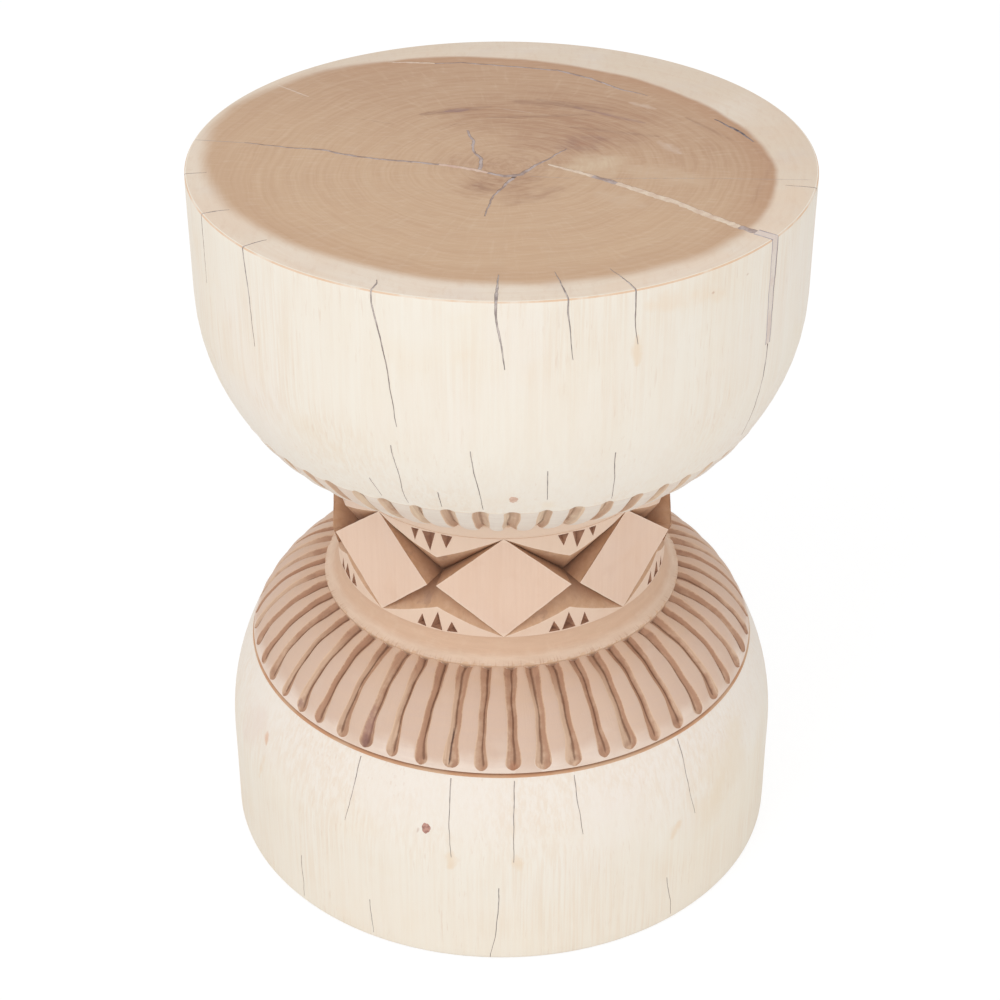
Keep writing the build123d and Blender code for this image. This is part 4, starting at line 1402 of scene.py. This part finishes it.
def land_material(colours):
    material, tree, shader, place = new_material("flute lands")
    height, tone = tree.parts(place)["Z"], tree.mark("tone")
    gouge = tree.group("Gouge Marks", Vector=place)
    shoulder = below_waist(tree, height)
    cloud = tree.swing(tree.noise(place, 70.0, 3), 0.010)
    drifted = tree.plus(height, tree.plus(cloud, tree.swing(tone, 0.008)))
    # the shoulder is mauve in the middle, cream outside and tan by the ring
    low = tree.mix(tree.span(drifted, 0.147, 0.158, 1.0, 0.0), colours.land, (0.830, 0.690, 0.590))
    low = tree.tinted(low, (0.650, 0.450, 0.320), tree.span(drifted, 0.176, 0.192), 0.85)
    # the underside is bleached near the bowl and tan by its ring
    high = tree.mix(tree.span(height, 0.3045, 0.309), (0.740, 0.590, 0.450), (0.815, 0.745, 0.655))
    colour = tree.mix(shoulder, high, low)
    colour = tree.tinted(colour, (0.600, 0.450, 0.400), gouge["Round"], 0.16)
    colour = tree.tinted(colour, (0.720, 0.530, 0.410), tone, 0.22)
    colour = patched(tree, place, colour, (
        (0.0, 15.0, 0.46, 0.66, 0.35, (0.690, 0.500, 0.380)),
        (2.2, 24.0, 0.52, 0.70, 0.30, (0.760, 0.620, 0.520)),
    ))
    colour = stained(tree, place, colour, (
        (-30.9, 157, 175, -30.5, 172, 152, 3, 1.0, 200, 0.50, (0.420, 0.240, 0.200)),
        (-50, 160, 170, -51, 164, 165, 2.4, 1.0, 250, 0.55, RUSSET),
    ))
    # painted highlight along the lands' cut edges
    colour = edge_line_and_highlight(tree, place, colour, 0.75, EDGE_HIGHLIGHT)
    finish_wood(tree, shader, colour, 0.66, gouge["Along"], gouge["Along"], 0.16)
    return material


def groove_material(colours):
    material, tree, shader, place = new_material("gouged grooves")
    height = tree.parts(place)["Z"]
    cut, hand, tone = (tree.mark(name) for name in ("cut", "hand", "tone"))
    gouge = tree.group("Gouge Marks", Vector=place)
    uneven = tree.noise(place, 110.0, 4, 0.6)
    shoulder = below_waist(tree, height)
    tan = tree.mix(shoulder, (0.780, 0.620, 0.460), (0.690, 0.485, 0.345))
    # painted shade: one wall takes the brown groove colour and the other the tan, and which one it is
    # changes from groove to groove
    side = tree.times(hand, tree.span(tone, 0.25, 0.75, 1.0, -1.0))
    share = tree.plus(side, tree.plus(tree.swing(uneven, 2.2), tree.swing(tone, 0.9)))
    painted_groove_shade = tree.span(share, -0.75, 0.25)
    # painted shade at the deep inner ends of the shoulder's grooves, by the ring
    painted_groove_shade = tree.math("MAXIMUM", painted_groove_shade, tree.times(tree.span(height, 0.180, 0.190), shoulder, 0.9))
    # the painted shade and the dark line grow fainter up the underside
    fainter_up = tree.span(height, 0.300, 0.345, 1.0, 0.55)
    painted_groove_shade = tree.times(painted_groove_shade, fainter_up)
    colour = tree.mix(painted_groove_shade, tan, colours.groove)
    colour = tree.tinted(colour, (0.360, 0.190, 0.120), gouge["Along"], 0.30)
    # dark blobs where the gouge turned, at both ends of the shoulder's grooves: painted shade in the
    # deep ends of the scoops
    outer, inner = tree.span(height, 0.150, 0.156, 1.0, 0.0), tree.span(height, 0.183, 0.190)
    end = tree.math("MAXIMUM", outer, inner)
    blob = tree.times(tree.span(tree.noise(place, 95.0, 3), 0.50, 0.64), tree.times(end, shoulder), 0.45)
    colour = tree.mix(blob, colour, (0.330, 0.175, 0.115))
    # a dark line along the bottom of each groove: painted shade in the crease, with the dirt that lies
    # there
    line = tree.span(tree.plus(cut, tree.swing(uneven, 0.3)), 0.72, 0.95)
    colour = tree.tinted(colour, (0.190, 0.095, 0.055), line, fainter_up, 0.72)
    colour = stained(tree, place, colour, (
        (-31.6, 158, 176, -31.0, 174, 149, 5, 0.9, 160, 0.65, (0.330, 0.170, 0.150)),
        (-31.2, 171, 154, -31.0, 174, 148, 5, 0.8, 200, 0.60, (0.200, 0.100, 0.090)),
        (-10.7, 150, 182, -11.4, 174, 147, 1.0, 0.8, 300, 0.85, (0.090, 0.050, 0.045)),
        (-51.5, 172, 153, -51.7, 174, 148, 4, 0.8, 200, 0.60, (0.260, 0.120, 0.110)),
        (2.6, 172, 152, 2.6, 175, 147, 4, 0.8, 200, 0.50, (0.420, 0.180, 0.100)),
    ))
    # painted highlight along the groove's edges
    colour = edge_line_and_highlight(tree, place, colour, 0.55, EDGE_HIGHLIGHT)
    finish_wood(tree, shader, colour, 0.70, gouge["Along"], gouge["Along"], 0.28)
    return material


def ring_material(colours):
    material, tree, shader, place = new_material("hollow rings")
    gouge = tree.group("Gouge Marks", Vector=place)
    radius = tree.vector("LENGTH", tree.vector("MULTIPLY", place, (1, 1, 0)))
    uneven = tree.noise(place, 120.0, 4, 0.6)
    drifted = tree.plus(radius, tree.swing(uneven, 0.0035))
    # painted shade: the hollow darkens from the pale lip to the Rings colour by the core
    colour = tree.mix(tree.span(drifted, 0.1150, 0.1205), colours.ring, (0.800, 0.625, 0.490))
    colour = tree.tinted(colour, (0.600, 0.400, 0.275), gouge["Round"], 0.24)
    colour = tree.tinted(colour, (0.760, 0.570, 0.420), tree.span(uneven, 0.5, 0.7), 0.20)
    # the upper ring is as light as the triangles under it
    upper = tree.span(tree.parts(place)["Z"], 0.26, 0.28)
    colour = tree.tinted(colour, (0.815, 0.640, 0.505), upper, 0.85)
    # ticks of the gouge over the lip
    tick = tree.times(tree.span(gouge["Along"], 0.75, 0.95), tree.span(radius, 0.1190, 0.1235))
    colour = tree.tinted(colour, (0.520, 0.290, 0.170), tick, 0.45)
    # the V-groove outside the shoulder is rawer and more orange
    seam = tree.span(radius, 0.150, 0.160)
    raw = tree.span(tree.noise(place, 36.0, 3), 0.40, 0.62)
    raw = tree.mix(raw, (0.640, 0.420, 0.275), (0.600, 0.330, 0.190))
    colour = tree.mix(seam, colour, raw)
    # painted shade along the bottom of the V-groove and the foot of each ring's step
    colour = tree.tinted(colour, (0.330, 0.180, 0.110), tree.span(tree.mark("cut"), 0.30, 0.85), 0.75)
    colour = edge_line_and_highlight(tree, place, colour, 0.60, (0.700, 0.455, 0.280))
    finish_wood(tree, shader, colour, 0.66, uneven, gouge["Round"], 0.22)
    return material


def facet_material(colours):
    material, tree, shader, place = new_material("diamond faces")
    grain = tree.group("Long Grain", Vector=place, Fineness=460.0)
    colour = tree.tinted(colours.facet, (0.770, 0.540, 0.400), grain["Streak"], 0.22)
    colour = tree.tinted(colour, (0.700, 0.470, 0.340), grain["Fibre"], 0.16)
    # the light triangles are creamier than the diamonds
    light = tree.span(tree.mark("hand"), -0.5, 0.5, 1.0, 0.0)
    colour = tree.tinted(colour, (0.810, 0.630, 0.490), light, 0.60)
    colour = patched(tree, place, colour, (
        (0.0, 20.0, 0.46, 0.68, 0.35, (0.800, 0.610, 0.500)),
        (1.9, 34.0, 0.54, 0.72, 0.22, (0.690, 0.440, 0.300)),
    ))
    # painted highlight along the edges of the diamonds and the triangles
    colour = edge_line_and_highlight(tree, place, colour, 0.55, (0.860, 0.680, 0.540))
    finish_wood(tree, shader, colour, 0.64, grain["Streak"], grain["Fibre"], 0.14)
    return material


def wall_material(colours):
    material, tree, shader, place = new_material("V-cut walls")
    uneven = tree.noise(place, 130.0, 4, 0.6, 0.4)
    inner = tree.mark("hand")
    colour = tree.mix(tree.span(uneven, 0.36, 0.66, 0.0, 0.4), colours.wall, (0.710, 0.480, 0.330))
    strokes = tree.noise(tree.vector("MULTIPLY", place, (1.0, 1.0, 0.35)), 330.0, 3, 0.6, 0.8)
    colour = tree.tinted(colour, (0.480, 0.275, 0.175), tree.span(strokes, 0.46, 0.70), 0.35)
    # darker towards the pocket: painted shade deep in the V-cut, over the darker stain of the cut wood
    colour = tree.tinted(colour, (0.370, 0.195, 0.120), tree.span(inner, 0.05, 0.7), 0.66)
    colour = patched(tree, place, colour, ((2.7, 60.0, 0.58, 0.70, 0.45, (0.330, 0.190, 0.140)),))
    # dark along the V's bottom from the pocket: painted shade in the crease
    bottom = tree.plus(tree.mark("cut"), tree.swing(uneven, 0.45))
    colour = tree.tinted(colour, (0.230, 0.125, 0.080), tree.span(bottom, 0.50, 0.90), 0.72)
    # painted highlight along the wall's outer edge
    colour = edge_line_and_highlight(tree, place, colour, 0.35, EDGE_HIGHLIGHT)
    finish_wood(tree, shader, colour, 0.68, uneven, strokes, 0.25)
    return material


def clouded(name, colour, other, scale, roughness, grit_tint=(0.300, 0.220, 0.200), grit_share=0.30):
    """A filler or a small piece of wood: two clouded colours with fine grit."""
    material, tree, shader, place = new_material(name)
    cloud = tree.span(tree.noise(place, scale, 4, 0.6), 0.36, 0.64)
    grit = tree.noise(place, 1400.0, 3, 0.6)
    tint = tree.mix(cloud, colour, other)
    tint = tree.tinted(tint, grit_tint, tree.span(grit, 0.5, 0.8), grit_share)
    finish_wood(tree, shader, tint, roughness, grit, grit, 0.3, 0.0003)
    return material


# name: (first colour, second colour, scale of the clouds, roughness)
LET_IN_FINISHES = {
    "crack filler": ((0.350, 0.250, 0.215), (0.520, 0.430, 0.405), 130.0, 0.70),
    "dark filler": ((0.130, 0.110, 0.120), (0.340, 0.270, 0.260), 160.0, 0.70),
    "hairline filler": ((0.330, 0.270, 0.255), (0.620, 0.540, 0.500), 140.0, 0.72),
    "pink sliver": ((0.640, 0.430, 0.340), (0.720, 0.550, 0.440), 150.0, 0.60),
    "cream sliver": ((0.790, 0.650, 0.510), (0.680, 0.510, 0.390), 130.0, 0.60),
    "wedge wood": ((0.800, 0.720, 0.640), (0.730, 0.610, 0.540), 60.0, 0.62),
    "glue line": ((0.430, 0.370, 0.400), (0.600, 0.540, 0.540), 120.0, 0.70),
    "bowl knot": ((0.740, 0.530, 0.420), (0.640, 0.420, 0.315), 300.0, 0.62),
    "drum knot": ((0.560, 0.310, 0.250), (0.330, 0.160, 0.125), 420.0, 0.60),
    "chipped wood": ((0.440, 0.240, 0.150), (0.300, 0.150, 0.095), 170.0, 0.72),
    "slot wall": ((0.330, 0.230, 0.180), (0.430, 0.310, 0.250), 200.0, 0.80),
}


def finish(name):
    """The named finish, made when it is first asked for."""
    return bpy.data.materials.get(name) or clouded(name, *LET_IN_FINISHES[name])


# ------------------------------------------------------------------------------ operators
class TurnLog(bpy.types.Operator):
    """Turn and carve the log, then cut its checks and chips"""

    bl_idname = "drum_table.turn_log"
    bl_label = "Turn and Carve Log"

    def execute(self, context):
        given, colours = context.scene.drum_table_sizes, context.scene.drum_table_colours
        sizes.update({name: getattr(given, name) for name in given.__annotations__})
        build_groups()
        materials = [
            make(colours)
            for make in (
                end_grain_material, bleached_material, land_material, groove_material,
                ring_material, facet_material, wall_material,
            )
        ]
        materials += [finish("chipped wood"), finish("slot wall")]
        log = build_log(materials)
        for cutters in slot_cutters():
            cut_away(log, cutters, materials[SLOT])
        cut_away(log, [chip_cutters()], materials[CHIP])
        only(log)
        bpy.ops.object.shade_smooth_by_angle(angle=radians(SMOOTH_ANGLE))
        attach(log, "root")
        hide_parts("carved_log")
        return {"FINISHED"}


def nearest(points, place):
    """Index of the point that lies nearest to a place."""
    away = [hypot(x - place[0], y - place[1]) for x, y, _ in points]
    return away.index(min(away))


class FillChecks(bpy.types.Operator):
    """Fill the checks with filler and slivers of wood"""

    bl_idname = "drum_table.fill_checks"
    bl_label = "Fill Checks"

    def execute(self, context):
        depth = LET_IN - SHORT
        fine = fine_top_runs()
        for name, (run, first, last, slot, look) in TOP_PIECES.items():
            points = fine[TOP_RUNS.index(run)]
            lines = [points[nearest(points, run[first]): nearest(points, run[last]) + 1]]
            if name == "heart_check_filler":
                lines.append(fine[TOP_RUNS.index(LOWER_HEART)][2:])
            lift = -SUNK if slot == FILLER else -SLIVER_SUNK
            strips = [ribbon("strip", flat_edges(line, lift, -SLIM), depth) for line in lines]
            let_in(joined(strips, f"{name}_let_in"), slot, finish(look), name)
        for number in range(len(RIM_CHECKS)):
            name = f"rim_check_filler_{number + 1}"
            piece = ribbon(f"{name}_let_in", rim_edges(number, -SUNK, -SLIM), depth)
            let_in(piece, FILLER, finish("hairline filler"), name)
        for name, run in hairline_runs().items():
            run = run[1:] if name == "tail_check_filler" else run
            piece = ribbon(f"{name}_let_in", skin_edges(run, -SUNK, -SLIM), depth)
            let_in(piece, FILLER, finish("hairline filler"), name)
        return {"FINISHED"}


class FitWedge(bpy.types.Operator):
    """Fit the wedge that closes the open end of the right check"""

    bl_idname = "drum_table.fit_wedge"
    bl_label = "Fit Side Wedge"

    def execute(self, context):
        wedge = ribbon("side_wedge_let_in", wedge_edges((-1, 0), (1, 0), -WEDGE_SUNK), WEDGE_DEPTH)
        let_in(wedge, SLIVER, finish("wedge wood"), "side_wedge")
        lines = [
            ribbon("line", wedge_edges(*sides, -SUNK), WEDGE_DEPTH - SHORT)
            for sides in (((-1, -GLUE), (-1, -SLIM)), ((1, SLIM), (1, GLUE)))
        ]
        let_in(joined(lines, "side_wedge_glue"), FILLER, finish("glue line"), "side_wedge_filler")
        return {"FINISHED"}


class SetKnots(bpy.types.Operator):
    """Set the pin knots in the skin"""

    bl_idname = "drum_table.set_knots"
    bl_label = "Set Pin Knots"

    def execute(self, context):
        for name, (azimuth, z, width, tall) in PIN_KNOTS.items():
            nothing_selected()
            bpy.ops.mesh.primitive_circle_add(vertices=32, radius=1, fill_type="NGON")
            knot = fresh(f"{name}_plug")
            edit(knot)
            bpy.ops.mesh.extrude_region_move(TRANSFORM_OT_translate={"value": (0, 0, 1)})
            bpy.ops.mesh.inset(thickness=0.22)
            bpy.ops.transform.translate(value=(0, 0, 0.02))
            bpy.ops.mesh.inset(thickness=0.4)
            edited()
            # its axis, still upright, becomes the way out of the skin
            for vert in knot.data.vertices:
                x, y, out = vert.co
                turn = atan2(y, x)
                ragged = 1 + 0.07 * sin(3 * turn + 1) + 0.05 * sin(7 * turn)
                up = z + y * tall / 2 * ragged
                radius = skin_radius(up) + (out - 1) * KNOT_REACH + KNOT_PROUD
                vert.co = at(azimuth + degrees(x * width / 2 * ragged / radius), radius, up)
            edit(knot)
            bpy.ops.mesh.normals_make_consistent(inside=False)
            edited()
            let_in(knot, KNOT, finish(name.replace("_pin_", " ").replace("base", "drum")), name)
        return {"FINISHED"}


# the camera sees the floor and the sky as white, which adds little or no light to the table
FLOOR_GLOW, FLOOR_GLOW_SHARE = 1.10, 0.74
SKY_LIGHT, SKY_SEEN_EXTRA = 0.80, 0.22
# name: (place, size, power)
LAMPS = {
    "key softbox": ((-1.5, -1.7, 2.5), 1.7, 20.0),
    "fill softbox": ((0.9, -2.2, 0.8), 1.6, 6.5),
}
LAMPS_AIM = Vector((0, 0, 0.25))
CAMERA_PLACE, CAMERA_TILT, CAMERA_ROLL, CAMERA_LENS = (0, -1.27725, 1.06199), 57.36, 0.0443, 79.24


class SetStage(bpy.types.Operator):
    """Lay the floor and set the lamps and the camera"""

    bl_idname = "drum_table.set_stage"
    bl_label = "Set Stage"

    def execute(self, context):
        nothing_selected()
        bpy.ops.mesh.primitive_plane_add(size=30)
        floor = fresh("floor")
        material, tree, shader, _ = new_material("pale floor")
        shader.inputs["Base Color"].default_value = (0.90, 0.90, 0.90, 1)
        shader.inputs["Roughness"].default_value = 0.9
        shader.inputs["Specular IOR Level"].default_value = 0.0
        seen = tree.add("ShaderNodeLightPath").outputs["Is Camera Ray"]
        glow = tree.add("ShaderNodeEmission", {"Strength": FLOOR_GLOW})
        glow.inputs["Color"].default_value = (1, 1, 1, 1)
        blend = tree.add("ShaderNodeMixShader", {"Fac": tree.times(seen, FLOOR_GLOW_SHARE)})
        tree.give(blend.inputs[1], shader.outputs[0])
        tree.give(blend.inputs[2], glow.outputs[0])
        tree.give(material.node_tree.nodes["Material Output"].inputs["Surface"], blend.outputs[0])
        floor.data.materials.append(material)
        world = context.scene.world = bpy.data.worlds.new("studio")
        world.use_nodes = True
        tree = Tree(world.node_tree)
        background = world.node_tree.nodes["Background"]
        background.inputs["Color"].default_value = (1, 1, 1, 1)
        seen = tree.add("ShaderNodeLightPath").outputs["Is Camera Ray"]
        strength = tree.math("MULTIPLY_ADD", seen, SKY_SEEN_EXTRA, SKY_LIGHT)
        tree.give(background.inputs["Strength"], strength)
        for name, (place, size, power) in LAMPS.items():
            aim = (LAMPS_AIM - Vector(place)).to_track_quat("-Z", "Y").to_euler()
            bpy.ops.object.light_add(type="AREA", location=place, rotation=aim)
            lamp = fresh(name)
            lamp.data.size, lamp.data.energy = size, power
        turned = (radians(CAMERA_TILT), 0, radians(CAMERA_ROLL))
        bpy.ops.object.camera_add(location=CAMERA_PLACE, rotation=turned)
        camera = context.scene.camera = fresh("camera")
        camera.data.lens, camera.data.sensor_width = CAMERA_LENS, 36.0
        context.scene.view_settings.view_transform = "Standard"
        return {"FINISHED"}


class DrumTablePanel(bpy.types.Panel):
    """Lists the sizes, the finishes and the steps that make the drum table"""

    bl_idname = "VIEW3D_PT_drum_table"
    bl_label = "Drum Table"
    bl_space_type = "VIEW_3D"
    bl_region_type = "UI"
    bl_category = "Drum Table"

    def draw(self, context):
        for group in (context.scene.drum_table_sizes, context.scene.drum_table_colours):
            for name in group.__annotations__:
                self.layout.prop(group, name)
        for step in STEPS:
            self.layout.operator(step.bl_idname)


STEPS = (TurnLog, FillChecks, FitWedge, SetKnots, SetStage)
CLASSES = (DrumTableSizes, DrumTableColours, *STEPS, DrumTablePanel)


def register():
    for cls in CLASSES:
        bpy.utils.register_class(cls)
    bpy.types.Scene.drum_table_sizes = PointerProperty(type=DrumTableSizes)
    bpy.types.Scene.drum_table_colours = PointerProperty(type=DrumTableColours)


def unregister():
    del bpy.types.Scene.drum_table_sizes
    del bpy.types.Scene.drum_table_colours
    for cls in reversed(CLASSES):
        bpy.utils.unregister_class(cls)


def main():
    register()
    bpy.ops.drum_table.turn_log()
    bpy.ops.drum_table.fill_checks()
    bpy.ops.drum_table.fit_wedge()
    bpy.ops.drum_table.set_knots()
    bpy.ops.drum_table.set_stage()


if __name__ == "__main__":
    main()
